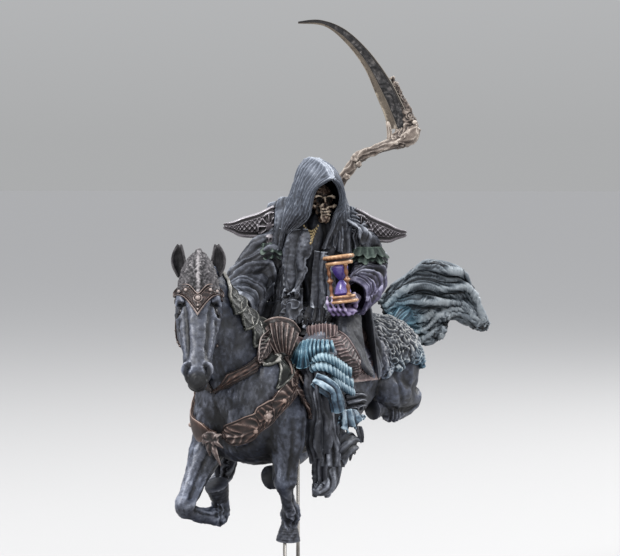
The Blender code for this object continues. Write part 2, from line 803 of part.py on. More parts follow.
def leg(sign):
    """Thigh, shin and boot under the robe on one side."""
    return [
        loft([((4.5 * sign, 6, 74), 5.2, 5.4), ((9.4 * sign, -3, 72.4), 5, 5.2), ((12.8 * sign, -11, 68.6), 4.6, 4.8), ((13.6 * sign, -14, 66.4), 3, 3.2)]),
        loft(
            [
                ((13 * sign, -12, 68), 4, 4.2),
                ((14.6 * sign, -11.4, 60), 3.6, 4.4),
                ((15.4 * sign, -9.6, 52), 3.4, 5),
                ((15.8 * sign, -9, 46), 3.2, 5.2),
                ((15.9 * sign, -9.4, 41.6), 2.9, 4.6),
            ],
            sides=20,
            pleats=7,
            depth=0.2,
        ),
        loft([((15.6 * sign, -8, 44), 2.2, 2.4), ((15.8 * sign, -9.4, 39), 1.9, 2.2), ((15.9 * sign, -12, 37), 1.8, 1.5), ((16 * sign, -16, 36.4), 1, 0.8)]),
    ]


def thigh_ruffles():
    """Three ribbed plates of leather that overlap down the left thigh."""
    made = []
    for k in range(3):
        start = Vector((12.4 + 1.2 * k, -15.4 + 3.2 * k, 71 - 4.2 * k))
        end = Vector((15 + 0.6 * k, 1 + 1.6 * k, 66.5 - 3.6 * k))

        def surface(u, v, start=start, end=end, k=k):
            bow = math.sin(math.pi * u)
            ridge = 0.32 * math.sin(2 * math.pi * 8 * u)
            place = start.lerp(end, u) + UP * (1.8 * bow - 5.2 * v)
            return place + X_AXIS * ((1.6 + 1.2 * v) * bow + ridge * v + 0.9 * v)

        made.append(sheet(surface, 30, 4, 1.5))
    return made


def trailing_rags():
    """Torn cloth that blows back from the left shin."""
    return [
        loft([((15.4, -7, 60), 2, 4), ((16, -2.5, 55.5), 1.6, 4.4), ((16.6, 1.2, 51), 1.3, 3.6), ((17, 3.8, 49.4), 0.8, 1)], pleats=4, depth=0.2, sides=18),
        loft([((15.6, -6.6, 50), 2.4, 4), ((16, -2.8, 46.6), 2.2, 3.8), ((16.4, -1, 43.8), 1.6, 2.4), ((16.4, 0.6, 42.6), 0.8, 0.9)], pleats=4, depth=0.2, sides=18),
    ]


def shoulder_frill(sign):
    """The ruffled edge of green cloth below one shoulder plate."""
    centre = Vector((-8.6, -1.4, 97)) if sign < 0 else Vector((10.8, 13.6, 96))

    def surface(u, v):
        angle = math.radians(-70 + 200 * u)
        reach = 4.2 + 1.9 * v + 0.5 * math.sin(9 * angle) * v
        out = BODY_LEFT * (sign * math.sin(angle)) + BODY_FRONT * math.cos(angle)
        return centre + out * reach - UP * (1.6 + 3.4 * v + 0.4 * math.sin(9 * angle) * v)

    return sheet(surface, 22, 3, 1.4)


def build_rider(horse):
    pieces = [*torso(), hood(), mantle(), cloak(), *sleeves(), *fingers(), *robe_front()]
    pieces += [*leg(-1), *leg(1), *thigh_ruffles(), *trailing_rags(), shoulder_frill(-1), shoulder_frill(1)]
    pieces += skull()
    rider = thin_out(fuse("rider", pieces, RIDER_GRAIN, smooth=1), RIDER_FACETS)
    return cut_by(rider, horse, CAST_GAP)


RIGHT_SHOULDER = (-8.4, -1.6, 100.4)
LEFT_SHOULDER = (9.6, 13.4, 99.8)
# The shoulder plates: outline points as (out from the shoulder, up), in figure units.
PLATE_TOP = [(-1.4, 4.2), (0.4, 3.3), (2.6, 2.3), (6.2, 1.2), (8.5, 0.1), (10.8, -0.5)]
PLATE_LOW = [(-1.4, -3.4), (0.4, -3.3), (2.8, -3.2), (6.6, -3), (8.6, -1.9), (10.8, -0.8)]


def build_pauldron(name, root, out, front, droop, others):
    """A shoulder plate drawn out to a point, with a small skull where it joins the sleeve."""
    root, down = Vector(root), math.tan(math.radians(droop))

    def surface(u, v):
        (top_out, top_up), (low_out, low_up) = along(PLATE_TOP, u), along(PLATE_LOW, u)
        reach, height = top_out + (low_out - top_out) * v, top_up + (low_up - top_up) * v
        belly = 2.2 * math.sin(math.pi * v) * (1 - 0.8 * u)
        return root + out * reach + UP * (height - down * max(0.0, reach)) + front * (belly - 0.5)

    plate = sheet(surface, 9, 4, 1.1)
    boss = ball(root - out * 0.2 - UP * 3.7 + front * 1.6, (1.4, 1.4, 1.8))
    pauldron = thin_out(fuse(name, [plate, boss], PLATE_GRAIN, smooth=1), PLATE_FACETS)
    for other in others:
        cut_by(pauldron, other, CAST_GAP)
    return pauldron


# The scythe lies in an upright plane that faces the same way as the tail's locks.
PLANE_RIGHT = Vector((0.819, 0.574, 0))
SCYTHE_ORIGIN = Vector((15.7, 28.3, 0))
BLADE_BACK = [(-29.5, SCYTHE_TOP - 0.4), (-24, SCYTHE_TOP), (-17.8, 149.2), (-11.6, 143.6), (-6.2, 136.2), (-2.8, 129.6), (-0.2, 124.4)]
BLADE_EDGE = [(-29.5, SCYTHE_TOP - 0.9), (-22.8, 149.9), (-17.4, 145.6), (-12.8, 139.4), (-9.6, 132), (-7.8, 127.6), (-6.8, 124)]
SHAFT = [(0.3, 124.8, 0), (-1.4, 122.4, 0), (-4.4, 120.9, 0), (-9.4, 119, 0.8), (-13.6, 117.4, 1.6), (-16, 114.4, 1.8), (-19.2, 109.8, 2), (-23, 97, 2.6), (-24.6, 84, 3), (-25, 73.5, 3)]
SHAFT_RADII = [1.5, 2.3, 1.8, 1.3, 1.5, 1.35, 1.3, 1.2, 1.25, 1.1]


def on_plane(right, height, back=0.0):
    """A place in the scythe's plane, some way behind it."""
    return SCYTHE_ORIGIN + PLANE_RIGHT * right + UP * height - TAIL_THIN * back


def blade():
    """A long crescent: a thick back, a groove line and a thin cutting edge."""
    bm = bmesh.new()
    stations, rings = 16, []
    for i in range(stations + 1):
        share = i / stations
        back, edge = along(BLADE_BACK, share), along(BLADE_EDGE, share)
        back, edge = on_plane(*back), on_plane(*edge)
        thick = 0.25 + 0.45 * min(1.0, 3 * share)
        bevel = back.lerp(edge, 0.62)
        ring = [back + TAIL_THIN * thick, bevel + TAIL_THIN * thick * 0.8, edge + TAIL_THIN * 0.16]
        ring += [edge - TAIL_THIN * 0.16, bevel - TAIL_THIN * thick * 0.8, back - TAIL_THIN * thick]
        rings.append([bm.verts.new(at(*place)) for place in ring])
    for low, high in zip(rings, rings[1:]):
        for k in range(6):
            bm.faces.new((low[k], low[(k + 1) % 6], high[(k + 1) % 6], high[k]))
    bm.faces.new(rings[0])
    bm.faces.new(rings[-1])
    return new_object("blade", bm)


def build_scythe(others):
    shaft = loft([(tuple(on_plane(*place)), r, r) for place, r in zip(SHAFT, SHAFT_RADII)], side=TAIL_THIN, sides=8, steps=2)
    binding = loft([(tuple(on_plane(-5.4, 120.6)), 1.9, 1.9), (tuple(on_plane(-3.2, 122.4)), 2, 2.6), (tuple(on_plane(-1.4, 125)), 1.4, 2), (tuple(on_plane(-2, 128.5)), 1, 1.2)], side=TAIL_THIN, sides=8, steps=2)
    strut = loft([(tuple(on_plane(-6.9, 126)), 0.5, 0.5), (tuple(on_plane(-6.6, 121)), 0.6, 0.6)], side=TAIL_THIN, sides=6, steps=1)
    scythe = join_exactly("scythe", [blade(), shaft, binding, strut])
    for other in others:
        cut_by(scythe, other, CAST_GAP)
    return scythe


# The hourglass leans a little to the rider's right.
GLASS_TOP = Vector((12.8, -1.8, 92.9))
GLASS_FOOT = Vector((14.2, -1.2, 81.2))
GLASS_RADIUS = 3.7


def turned(profile, sides=20):
    """A turned shape on Z: profile points (radius, height) in figure units, top to bottom."""
    bm = bmesh.new()
    points = [bm.verts.new((radius * UNIT, 0, height * UNIT)) for radius, height in profile]
    for above, below in zip(points, points[1:]):
        bm.edges.new((above, below))
    mesh = bpy.data.meshes.new("profile")
    bm.to_mesh(mesh)
    bm.free()
    obj = bpy.data.objects.new("turned", mesh)
    bpy.context.scene.collection.objects.link(obj)
    screw = obj.modifiers.new("Turn", "SCREW")
    screw.steps = screw.render_steps = sides
    screw.use_merge_vertices = True
    screw.merge_threshold = 1e-6
    apply_modifiers(obj)
    bpy.context.scene.collection.objects.unlink(obj)
    return obj


def build_hourglass(others):
    """Two moulded end plates, three posts and a waisted bulb, cast in one."""
    height = (GLASS_TOP - GLASS_FOOT).length
    bulb = [(0, height - 1), (2.2, height - 1.2), (2.5, height - 2.6), (2.1, height - 4.2), (0.75, height / 2), (2.1, 4.2), (2.5, 2.6), (2.2, 1.2), (0, 1)]
    pieces = [turned(bulb, 12)]
    for low, high in ((0, 1.7), (height - 2.3, height)):
        radius = GLASS_RADIUS
        pieces.append(turned([(0, high), (radius, high), (radius, high - 0.7), (radius - 0.6, high - 1), (radius - 0.5, low), (0, low)], 16))
    for k in range(3):
        angle = math.radians(30 + 120 * k)
        bm = bmesh.new()
        bmesh.ops.create_cone(bm, cap_ends=True, segments=6, radius1=0.55 * UNIT, radius2=0.55 * UNIT, depth=(height - 1) * UNIT)
        bmesh.ops.translate(bm, verts=bm.verts, vec=Vector((2.75 * math.cos(angle), 2.75 * math.sin(angle), height / 2)) * UNIT)
        pieces.append(new_object("post", bm))
    turn = UP.rotation_difference(GLASS_TOP - GLASS_FOOT).to_matrix().to_4x4()
    for piece in pieces:
        piece.data.transform(Matrix.Translation(at(*GLASS_FOOT)) @ turn)
    hourglass = join_exactly("hourglass", pieces)
    for other in others:
        cut_by(hourglass, other, CAST_GAP)
    return hourglass


# The two rods: where each stands, in figure units.
BELLY_ROD = (0.0, -0.7)
HOOF_ROD = (4.2, -12.2)


def cylinder(name, x, y, low, high, radius, sides=16):
    bm = bmesh.new()
    bmesh.ops.create_cone(bm, cap_ends=True, segments=sides, radius1=radius, radius2=radius, depth=high - low)
    bmesh.ops.translate(bm, verts=bm.verts, vec=Vector((x, y, (low + high) / 2)))
    return new_object(name, bm)


def build_rod(name, place, horse, socket_depth):
    """A rod from its socket in the plinth to its socket in the horse, which is bored to take it."""
    x, y = place[0] * UNIT, place[1] * UNIT
    tree = BVHTree.FromObject(horse, bpy.context.evaluated_depsgraph_get())
    underside = tree.ray_cast(Vector((x, y, PLINTH_HEIGHT)), UP)[0].z
    foot, top = PLINTH_HEIGHT - ROD_SOCKET_DEPTH, underside + socket_depth
    radius = ROD_DIAMETER / 2
    bore = cylinder("bore", x, y, PLINTH_HEIGHT, top + ROD_CLEARANCE, radius + ROD_CLEARANCE)
    bpy.context.scene.collection.objects.link(bore)
    cut_by(horse, bore)
    bpy.data.objects.remove(bore)
    rod = cylinder(name, x, y, foot, top, radius)
    bpy.context.scene.collection.objects.link(rod)
    return rod


def build_plinth(rod_places):
    """A turned disc with a cove below its top edge and a socket for each rod."""
    radius, top = PLINTH_DIAMETER / 2, PLINTH_HEIGHT
    inner = radius - PLINTH_STEP
    cove = [
        (inner - PLINTH_STEP * 0.2 + PLINTH_STEP * (1 - math.cos(turn)), top * (0.78 - 0.42 * math.sin(turn)))
        for turn in (math.pi / 2 * k / 3 for k in range(4))
    ]
    profile = [(0, top), (inner - 0.6 * MM, top), (inner, top - 0.6 * MM), (inner, top * 0.8), *cove]
    profile += [(radius, top * 0.3), (radius, 0.5 * MM), (radius - 0.5 * MM, 0), (0, 0)]
    plinth = turned([(r / UNIT, z / UNIT) for r, z in profile], 32)
    plinth.name = "plinth"
    bpy.context.scene.collection.objects.link(plinth)
    for x, y in rod_places:
        floor = PLINTH_HEIGHT - ROD_SOCKET_DEPTH - ROD_CLEARANCE
        bore = cylinder("bore", x * UNIT, y * UNIT, floor, PLINTH_HEIGHT * 2, ROD_DIAMETER / 2 + ROD_CLEARANCE)
        bpy.context.scene.collection.objects.link(bore)
        cut_by(plinth, bore)
        bpy.data.objects.remove(bore)
    return plinth


def finish(obj, collection, material, sharp=40):
    for other in list(obj.users_collection):
        other.objects.unlink(obj)
    collection.objects.link(obj)
    obj.data.materials.clear()
    obj.data.materials.append(material)
    obj.data.shade_smooth()
    obj.data.set_sharp_from_angle(angle=math.radians(sharp))


def main():
    clear_scene()
    collection = bpy.data.collections.new("grim_reaper_figurine")
    bpy.context.scene.collection.children.link(collection)
    slate = make_material("slate_paint", (0.10, 0.12, 0.15), 0.6)
    robe = make_material("robe_paint", (0.07, 0.08, 0.10), 0.65)
    hair = make_material("tail_paint", (0.13, 0.20, 0.24), 0.6)
    steel = make_material("steel_paint", (0.25, 0.25, 0.24), 0.4, 0.6)
    iron = make_material("iron_paint", (0.12, 0.10, 0.11), 0.45, 0.5)
    copper = make_material("copper_paint", (0.50, 0.20, 0.08), 0.4, 0.5)
    rod_steel = make_material("rod_steel", (0.55, 0.54, 0.52), 0.3, 1.0)
    lacquer = make_material("black_lacquer", (0.02, 0.02, 0.02), 0.35)

    horse = build_horse()
    long_rod = build_rod("belly_rod", BELLY_ROD, horse, BELLY_SOCKET_DEPTH)
    short_rod = build_rod("hoof_rod", HOOF_ROD, horse, HOOF_SOCKET_DEPTH)
    rider = build_rider(horse)
    tail = build_tail(horse)
    left = build_pauldron("left_pauldron", LEFT_SHOULDER, PLANE_RIGHT, TAIL_THIN, 7, [rider])
    right = build_pauldron("right_pauldron", RIGHT_SHOULDER, -PLANE_RIGHT, TAIL_THIN, 0, [rider])
    scythe = build_scythe([horse, rider, tail])
    hourglass = build_hourglass([rider])
    plinth = build_plinth([BELLY_ROD, HOOF_ROD])

    for obj, material in (
        (horse, slate),
        (rider, robe),
        (tail, hair),
        (left, iron),
        (right, iron),
        (scythe, steel),
        (hourglass, copper),
        (long_rod, rod_steel),
        (short_rod, rod_steel),
        (plinth, lacquer),
    ):
        finish(obj, collection, material)


main()
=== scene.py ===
"""The dressed grim reaper figurine: every casting at full relief, with its painted finish.

Places and sizes are in millimetres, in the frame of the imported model: X to the horse's left, Y towards
its tail, Z up from the plinth's underside. Each form is an array of points with faces, shaped by functions
of its own coordinates, fused where pieces flow into one another, carved with strokes, and painted from its
own relief.
"""

import math

import bpy
import numpy as np
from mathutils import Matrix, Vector
from mathutils.bvhtree import BVHTree


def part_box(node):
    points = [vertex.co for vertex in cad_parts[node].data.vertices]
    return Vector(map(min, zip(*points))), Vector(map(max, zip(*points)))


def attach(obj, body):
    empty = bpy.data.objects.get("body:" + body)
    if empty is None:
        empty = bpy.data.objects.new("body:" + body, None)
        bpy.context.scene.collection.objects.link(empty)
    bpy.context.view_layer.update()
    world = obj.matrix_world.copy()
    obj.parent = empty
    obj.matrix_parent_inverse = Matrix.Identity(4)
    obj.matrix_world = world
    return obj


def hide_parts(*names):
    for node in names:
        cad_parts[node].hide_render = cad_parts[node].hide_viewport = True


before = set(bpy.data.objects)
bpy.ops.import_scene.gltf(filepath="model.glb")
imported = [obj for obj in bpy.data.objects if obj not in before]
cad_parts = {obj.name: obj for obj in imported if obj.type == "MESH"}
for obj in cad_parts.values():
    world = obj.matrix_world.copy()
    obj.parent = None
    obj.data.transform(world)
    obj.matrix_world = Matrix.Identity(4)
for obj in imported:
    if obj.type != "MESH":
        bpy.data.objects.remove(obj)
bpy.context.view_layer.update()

MM = 0.001
TURN = 2 * math.pi
UP = np.array([0.0, 0.0, 1.0])
X_AXIS = np.array([1.0, 0.0, 0.0])


# Vectors and curves


def vec(*values):
    return np.array(values, float)


def unit(v):
    """The vectors at length 1."""
    return v / np.maximum(np.linalg.norm(v, axis=-1, keepdims=True), 1e-9)


def heading(degrees):
    """(forward, left) unit vectors of something that faces this far round from -Y towards +X."""
    turn = math.radians(degrees)
    return vec(math.sin(turn), -math.cos(turn), 0), vec(math.cos(turn), math.sin(turn), 0)


def spline(rows, shares):
    """Values read off a smooth curve through rows of them, at shares from 0 to 1.

    Rows that are themselves arrays shaped like shares are read point by point."""
    rows = np.asarray(rows, float)
    place = np.clip(shares, 0, 1) * (len(rows) - 1)
    i = np.minimum(place.astype(int), len(rows) - 2)
    f = (place - i)[..., None]

    def row(k):
        index = np.clip(i + k, 0, len(rows) - 1)
        if rows.ndim == 2:
            return rows[index]
        return np.take_along_axis(rows, index[None, ..., None], 0)[0]

    a, b, c, d = (row(k) for k in (-1, 0, 1, 2))
    return 0.5 * (2 * b + (c - a) * f + (2 * a - 5 * b + 4 * c - d) * f**2 + (3 * b - a - 3 * c + d) * f**3)


def step(low, high, x):
    """0 below low, 1 above high, and smooth between."""
    t = np.clip((x - low) / (high - low), 0, 1)
    return t * t * (3 - 2 * t)


def ridges(x):
    """Sharp crests at whole turns with round valleys between, from -1 to 1."""
    return 1 - 2 * np.abs(np.sin(x / 2)) ** 0.8


def noise(points, size, seed=0):
    """Smooth random values between -1 and 1, with features of this size in mm (or of three sizes)."""
    p = points / size + 31.7 * seed
    i = np.floor(p).astype(np.int64)
    f = p - i
    f = f * f * (3 - 2 * f)
    total = np.zeros(p.shape[:-1])
    for corner in range(8):
        d = np.array([corner & 1, corner >> 1 & 1, corner >> 2])
        h = (i + d) @ np.array([73856093, 19349663, 83492791])
        h = (h ^ (h >> 13)) * 1274126177 & 0xFFFFFFFF
        h = (h ^ (h >> 16)) & 0xFFFF
        weight = np.prod(np.where(d, f, 1 - f), axis=-1)
        total += weight * (h / 32767.5 - 1)
    return total


def rough(points, size, seed=0, octaves=3):
    """Noise with finer and finer features."""
    return sum(noise(points, size / 2**k, seed + k) / 2**k for k in range(octaves))


# Forms


class Form:
    """Points in mm and faces of three or four corners (a third corner is followed by -1)."""

    def __init__(self, points, faces):
        self.points, self.faces = points, faces
        self.marks = {}

    def normals(self):
        a, b, c, d = (self.points[self.faces[:, k]] for k in (0, 1, 2, 3))
        d = np.where(self.faces[:, 3:] < 0, c, d)
        face_normals = np.cross(c - a, d - b)
        total = np.zeros_like(self.points)
        for k in range(4):
            used = self.faces[:, k] >= 0
            for axis in range(3):
                weights = face_normals[used, axis]
                total[:, axis] += np.bincount(self.faces[used, k], weights, len(self.points))
        return unit(total)

    def edges(self):
        f = self.faces
        last = np.where(f[:, 3] < 0, f[:, 0], f[:, 3])
        third = np.where(f[:, 3] < 0, f[:, 0], f[:, 2])
        a = np.concatenate([f[:, 0], f[:, 1], f[:, 2], last])
        b = np.concatenate([f[:, 1], f[:, 2], last, third])
        keep = a != b
        a, b = a[keep], b[keep]
        return np.concatenate([a, b]), np.concatenate([b, a])

    def lift(self, heights):
        """Moves each point along its normal."""
        self.points = self.points + self.normals() * heights[:, None]
        return self

    def facing_out(self):
        a, b, c = (self.points[self.faces[:, k]] for k in (0, 1, 2))
        d = np.where(self.faces[:, 3:] < 0, a, self.points[self.faces[:, 3]])
        volume = (
            np.einsum("ij,ij->i", a, np.cross(b, c)).sum() + np.einsum("ij,ij->i", a, np.cross(c, d)).sum()
        )
        if volume < 0:
            f = self.faces
            self.faces = np.where(f[:, 3:] < 0, f[:, [2, 1, 0, 3]], f[:, [3, 2, 1, 0]])
        return self


def joined(forms):
    """Several forms in one, with each mark kept (0 where a form lacks it)."""
    offset, points, faces = 0, [], []
    for form in forms:
        points.append(form.points)
        faces.append(np.where(form.faces < 0, -1, form.faces + offset))
        offset += len(form.points)
    whole = Form(np.concatenate(points), np.concatenate(faces))
    for name in sorted({name for form in forms for name in form.marks}):
        marks = [form.marks.get(name, np.zeros(len(form.points))) for form in forms]
        whole.marks[name] = np.concatenate(marks)
    return whole


def grid_faces(rows, columns, closed):
    """Quads between rows of points, each row a closed ring or an open line."""
    i = np.arange(rows - 1)[:, None] * columns
    j = np.arange(columns if closed else columns - 1)[None, :]
    k = (j + 1) % columns
    return np.stack([i + j, i + k, i + columns + k, i + columns + j], -1).reshape(-1, 4)


def tube(stations, side=X_AXIS, rings=40, sides=24, relief=None, flat=2.0):
    """A closed skin through stations ((x, y, z), half width, half depth), the width lying along side.

    relief(share, angle, place) raises the skin, in mm."""
    rows = [[*place, width, deep] for place, width, deep in stations]
    share = np.linspace(0, 1, rings)
    path = spline(rows, share)
    tangent = unit(np.gradient(path[:, :3], axis=0))
    across = unit(side - tangent * (tangent @ side)[:, None])
    front = np.cross(tangent, across)
    angle = np.arange(sides) * TURN / sides
    c, s = (np.sign(v) * np.abs(v) ** (2 / flat) for v in (np.cos(angle), np.sin(angle)))
    offset = (
        across[:, None] * (path[:, 3, None] * c)[..., None]
        + front[:, None] * (path[:, 4, None] * s)[..., None]
    )
    points = path[:, None, :3] + offset
    shares, angles = np.meshgrid(share, angle, indexing="ij")
    if relief is not None:
        points = points + unit(offset) * relief(shares, angles, points)[..., None]
    points = np.concatenate([points.reshape(-1, 3), path[[0, -1], :3]])
    body = grid_faces(rings, sides, True)
    ring, beside = np.arange(sides), (np.arange(sides) + 1) % sides
    last, gone = (rings - 1) * sides, np.full(sides, -1)
    caps = [
        np.stack([np.full(sides, len(points) - 2), beside, ring, gone], -1),
        np.stack([np.full(sides, len(points) - 1), last + ring, last + beside, gone], -1),
    ]
    form = Form(points, np.concatenate([body, *caps]))
    form.marks["share"] = np.concatenate([shares.ravel(), [0, 1]])
    return form.facing_out()


def billows(x):
    """Broad round crests at whole turns with sharp creases between, from -1 to 1."""
    return 2 * np.abs(np.cos(x / 2)) ** 0.9 - 1


def cloth(flow, height, p, seed=0):
    """Uneven folds that swell, split and fade, with soft crests, sharp creases and a woven grain."""
    swing = 0.8 * flow + 0.4 * noise(p, 6.5, seed) + 0.1 * noise(p, 2.6, seed + 5)
    strength = 0.95 + 0.8 * noise(p, 4.5, seed + 1)
    main = 0.8 * billows(TURN * swing) + 0.2 * ridges(TURN * swing + 0.6)
    creases = 0.3 * billows(
        TURN * 2.4 * swing + 3 * noise(p, 3.0, seed + 2)
    ) * (0.6 + noise(p, 3.4, seed + 6))
    grain = 0.07 * noise(p, 0.5, seed + 3) + 0.06 * noise(p, 1.1, seed + 4)
    return height * (1.25 * strength * main + creases) + grain


def slab(surface, columns, rows, thickness, relief=None, edge=1.0, outside=None):
    """A sheet or plate: surface(u, v) in mm, thickened to both sides and rounded off towards its edges.

    relief(u, v, place) raises its front, which faces outside(place). edge is how far the rounding reaches."""
    u, v = np.meshgrid(np.linspace(0, 1, columns + 1), np.linspace(0, 1, rows + 1), indexing="ij")
    middle = surface(u, v)
    du, dv = np.gradient(middle, axis=0), np.gradient(middle, axis=1)
    normal = unit(np.cross(du, dv))
    if outside is not None and (normal * outside(middle)).sum(-1).mean() < 0:
        normal = -normal
    wide = np.linalg.norm(du, axis=-1).mean() * columns
    tall = np.linalg.norm(dv, axis=-1).mean() * rows
    rim = np.minimum(np.minimum(u, 1 - u) * wide, np.minimum(v, 1 - v) * tall) / edge
    round_off = np.sqrt(np.clip(1 - (1 - np.clip(rim, 0, 1)) ** 2, 0.04, 1))
    half = (thickness / 2 * round_off)[..., None]
    raised = half if relief is None else half + (relief(u, v, middle) * round_off)[..., None]
    front, back = middle + normal * raised, middle - normal * half
    count = (columns + 1) * (rows + 1)
    faces = grid_faces(columns + 1, rows + 1, False)
    index = np.arange(count).reshape(columns + 1, rows + 1)
    border = np.concatenate([index[:, 0], index[-1, 1:], index[-2::-1, -1], index[0, -2:0:-1]])
    beside = np.roll(border, -1)
    wall = np.stack([border, border + count, beside + count, beside], -1)
    points = np.concatenate([front.reshape(-1, 3), back.reshape(-1, 3)])
    form = Form(points, np.concatenate([faces, faces[:, ::-1] + count, wall]))
    form.marks["u"] = np.tile(u.ravel(), 2)
    form.marks["v"] = np.tile(v.ravel(), 2)
    form.marks["rim"] = np.tile(np.clip(rim, 0, 1).ravel(), 2)
    return form.facing_out()


def ball(place, radii, axes=None, sides=24):
    """An ellipsoid, its radii along axes or along X, Y and Z."""
    ring = np.linspace(0, math.pi, sides // 2 + 1)
    points = []
    for t in ring:
        around = np.arange(sides) * TURN / sides
        r = max(math.sin(t), 1e-3)
        points.append(np.stack([r * np.cos(around), r * np.sin(around), np.full(sides, -math.cos(t))], -1))
    points = np.concatenate(points) * radii
    if axes is not None:
        points = points @ np.array(axes)
    form = Form(points + np.asarray(place, float), grid_faces(sides // 2 + 1, sides, True))
    return capped(form, sides)


def capped(form, sides):
    """Closes the two ends of a stack of rings."""
    count = len(form.points)
    ends = [form.points[:sides].mean(0), form.points[-sides:].mean(0)]
    ring, beside, gone = np.arange(sides), (np.arange(sides) + 1) % sides, np.full(sides, -1)
    caps = [
        np.stack([np.full(sides, count), beside, ring, gone], -1),
        np.stack([np.full(sides, count + 1), count - sides + ring, count - sides + beside, gone], -1),
    ]
    for name, mark in form.marks.items():
        form.marks[name] = np.concatenate([mark, [mark[:sides].mean(), mark[-sides:].mean()]])
    form.points = np.concatenate([form.points, ends])
    form.faces = np.concatenate([form.faces, *caps])
    return form.facing_out()


def turned(profile, sides=48, relief=None):
    """A turned shape on Z from (radius, height) points, bottom to top."""
    profile = np.asarray(profile, float)
    angle = np.arange(sides) * TURN / sides
    radius = profile[:, 0, None] + (0 if relief is None else relief(profile[:, 1, None], angle[None]))
    x, y = radius * np.cos(angle), radius * np.sin(angle)
    z = np.broadcast_to(profile[:, 1, None], x.shape)
    return capped(Form(np.stack([x, y, z], -1).reshape(-1, 3), grid_faces(len(profile), sides, True)), sides)


def moved(form, origin, axes):
    """The form carried from X, Y, Z at the world's origin to these three axes at another place."""
    form.points = form.points @ np.array(axes) + origin
    return form.facing_out()


def mesh_of(name, form):
    """A smooth mesh of a form, in metres."""
    mesh = bpy.data.meshes.new(name)
    mesh.vertices.add(len(form.points))
    mesh.vertices.foreach_set("co", (form.points * MM).ravel())
    corners = form.faces[form.faces >= 0]
    sizes = (form.faces >= 0).sum(1)
    mesh.loops.add(len(corners))
    mesh.loops.foreach_set("vertex_index", corners.astype(np.int32))
    mesh.polygons.add(len(sizes))
    mesh.polygons.foreach_set("loop_start", (np.cumsum(sizes) - sizes).astype(np.int32))
    mesh.update(calc_edges=True)
    mesh.shade_smooth()
    return mesh


def form_of(mesh):
    """The form of a mesh, in mm."""
    points = np.empty(len(mesh.vertices) * 3, np.float32)
    mesh.vertices.foreach_get("co", points)
    starts = np.empty(len(mesh.polygons), np.int32)
    sizes = np.empty(len(mesh.polygons), np.int32)
    corners = np.empty(len(mesh.loops), np.int32)
    mesh.polygons.foreach_get("loop_start", starts)
    mesh.polygons.foreach_get("loop_total", sizes)
    mesh.loops.foreach_get("vertex_index", corners)
    faces = np.full((len(sizes), 4), -1)
    for k in range(4):
        held = sizes > k
        faces[held, k] = corners[starts[held] + k]
    return Form(points.reshape(-1, 3).astype(float) / MM, faces)


def fused(forms, voxel, smooth=2):
    """All forms as one skin with soft joins. voxel is its grain, in mm."""
    obj = bpy.data.objects.new("skin", mesh_of("skin", joined(forms)))
    bpy.context.scene.collection.objects.link(obj)
    remesh = obj.modifiers.new("Skin", "REMESH")
    remesh.mode = "VOXEL"
    remesh.voxel_size = voxel * MM
    soften = obj.modifiers.new("Soften", "SMOOTH")
    soften.factor = 0.5
    soften.iterations = smooth
    graph = bpy.context.evaluated_depsgraph_get()
    mesh = bpy.data.meshes.new_from_object(obj.evaluated_get(graph), depsgraph=graph)
    form = form_of(mesh)
    bpy.data.objects.remove(obj)
    bpy.data.meshes.remove(mesh)
    return form


def near_path(points, path, reach):
    """(which points lie within reach of a path, their distance to it and how far along it they are)."""
    line = spline(path, np.linspace(0, 1, 10 * len(path)))
    low, high = line.min(0) - reach, line.max(0) + reach
    which = np.nonzero(((points > low) & (points < high)).all(1))[0]
    gaps = np.linalg.norm(points[which, None] - line[None], axis=2)
    best = gaps.argmin(1)
    return which, gaps[np.arange(len(which)), best], best / (len(line) - 1)


def carved(form, strokes):
    """Raises, or below zero cuts, the surface along soft strokes (path, width, height)."""
    shift = np.zeros(len(form.points))
    for path, width, height in strokes:
        which, gap, share = near_path(form.points, path, 2.5 * width)
        taper = np.sqrt(np.clip(np.minimum(share, 1 - share) * 6 + 0.25, 0, 1)) if len(path) > 2 else 1
        shift[which] += height * np.exp(-((gap / width) ** 2)) * taper
    return form.lift(shift)


# Paint


def averaged(values, ends, rounds):
    """Values of points, each averaged with its neighbours' several times over."""
    a, b = ends
    count = len(values)
    degree = np.maximum(np.bincount(a, minlength=count), 1)[:, None]
    for _ in range(rounds):
        total = np.stack([np.bincount(a, values[b, k], count) for k in range(values.shape[1])], -1)
        values = 0.5 * values + 0.5 * total / degree
    return values


def brush_and_shade_tone(form, fine=0.07, broad=0.35, light=0.16, wear=0.06, base=0.42, reach=1.3):
    """How light each point is painted, from 0 in a crevice to 1 on a crest: partly the dry-brushed paint,
    partly painted shade in the crevices.

    fine and broad are the heights, in mm, of a sharp crest and of a large swell, and reach is a swell's size.
    light is how much painted highlight the upper sides gain, and wear how uneven the brush is."""
    ends = form.edges()
    spacing = np.linalg.norm(form.points[ends[0]] - form.points[ends[1]], axis=1).mean()
    normal = form.normals()

    def height(size):
        rounds = int(min(110, max(2, (size / spacing) ** 2)))
        return np.einsum("ij,ij->i", form.points - averaged(form.points, ends, rounds), normal)

    crest, swell = np.tanh(height(0.4) / fine), np.tanh(height(reach) / broad)
    # crest and swell: the dry-brushed paint on ridges, together with painted shade in the hollows; light *
    # normal z: a painted highlight on the upper sides
    tone = base + 0.24 * crest + 0.4 * swell + light * normal[:, 2]
    brush = rough(form.points, 2.2, 5) + noise(form.points, 0.7, 8) + noise(form.points, 0.38, 9)
    return np.clip(tone + wear * brush, 0, 1)


def colour(red, green, blue):
    """A colour as a screen shows it, from 0 to 255, in linear light."""
    values = [v / 255 for v in (red, green, blue)]
    return tuple(v / 12.92 if v < 0.04045 else ((v + 0.055) / 1.055) ** 2.4 for v in values) + (1.0,)


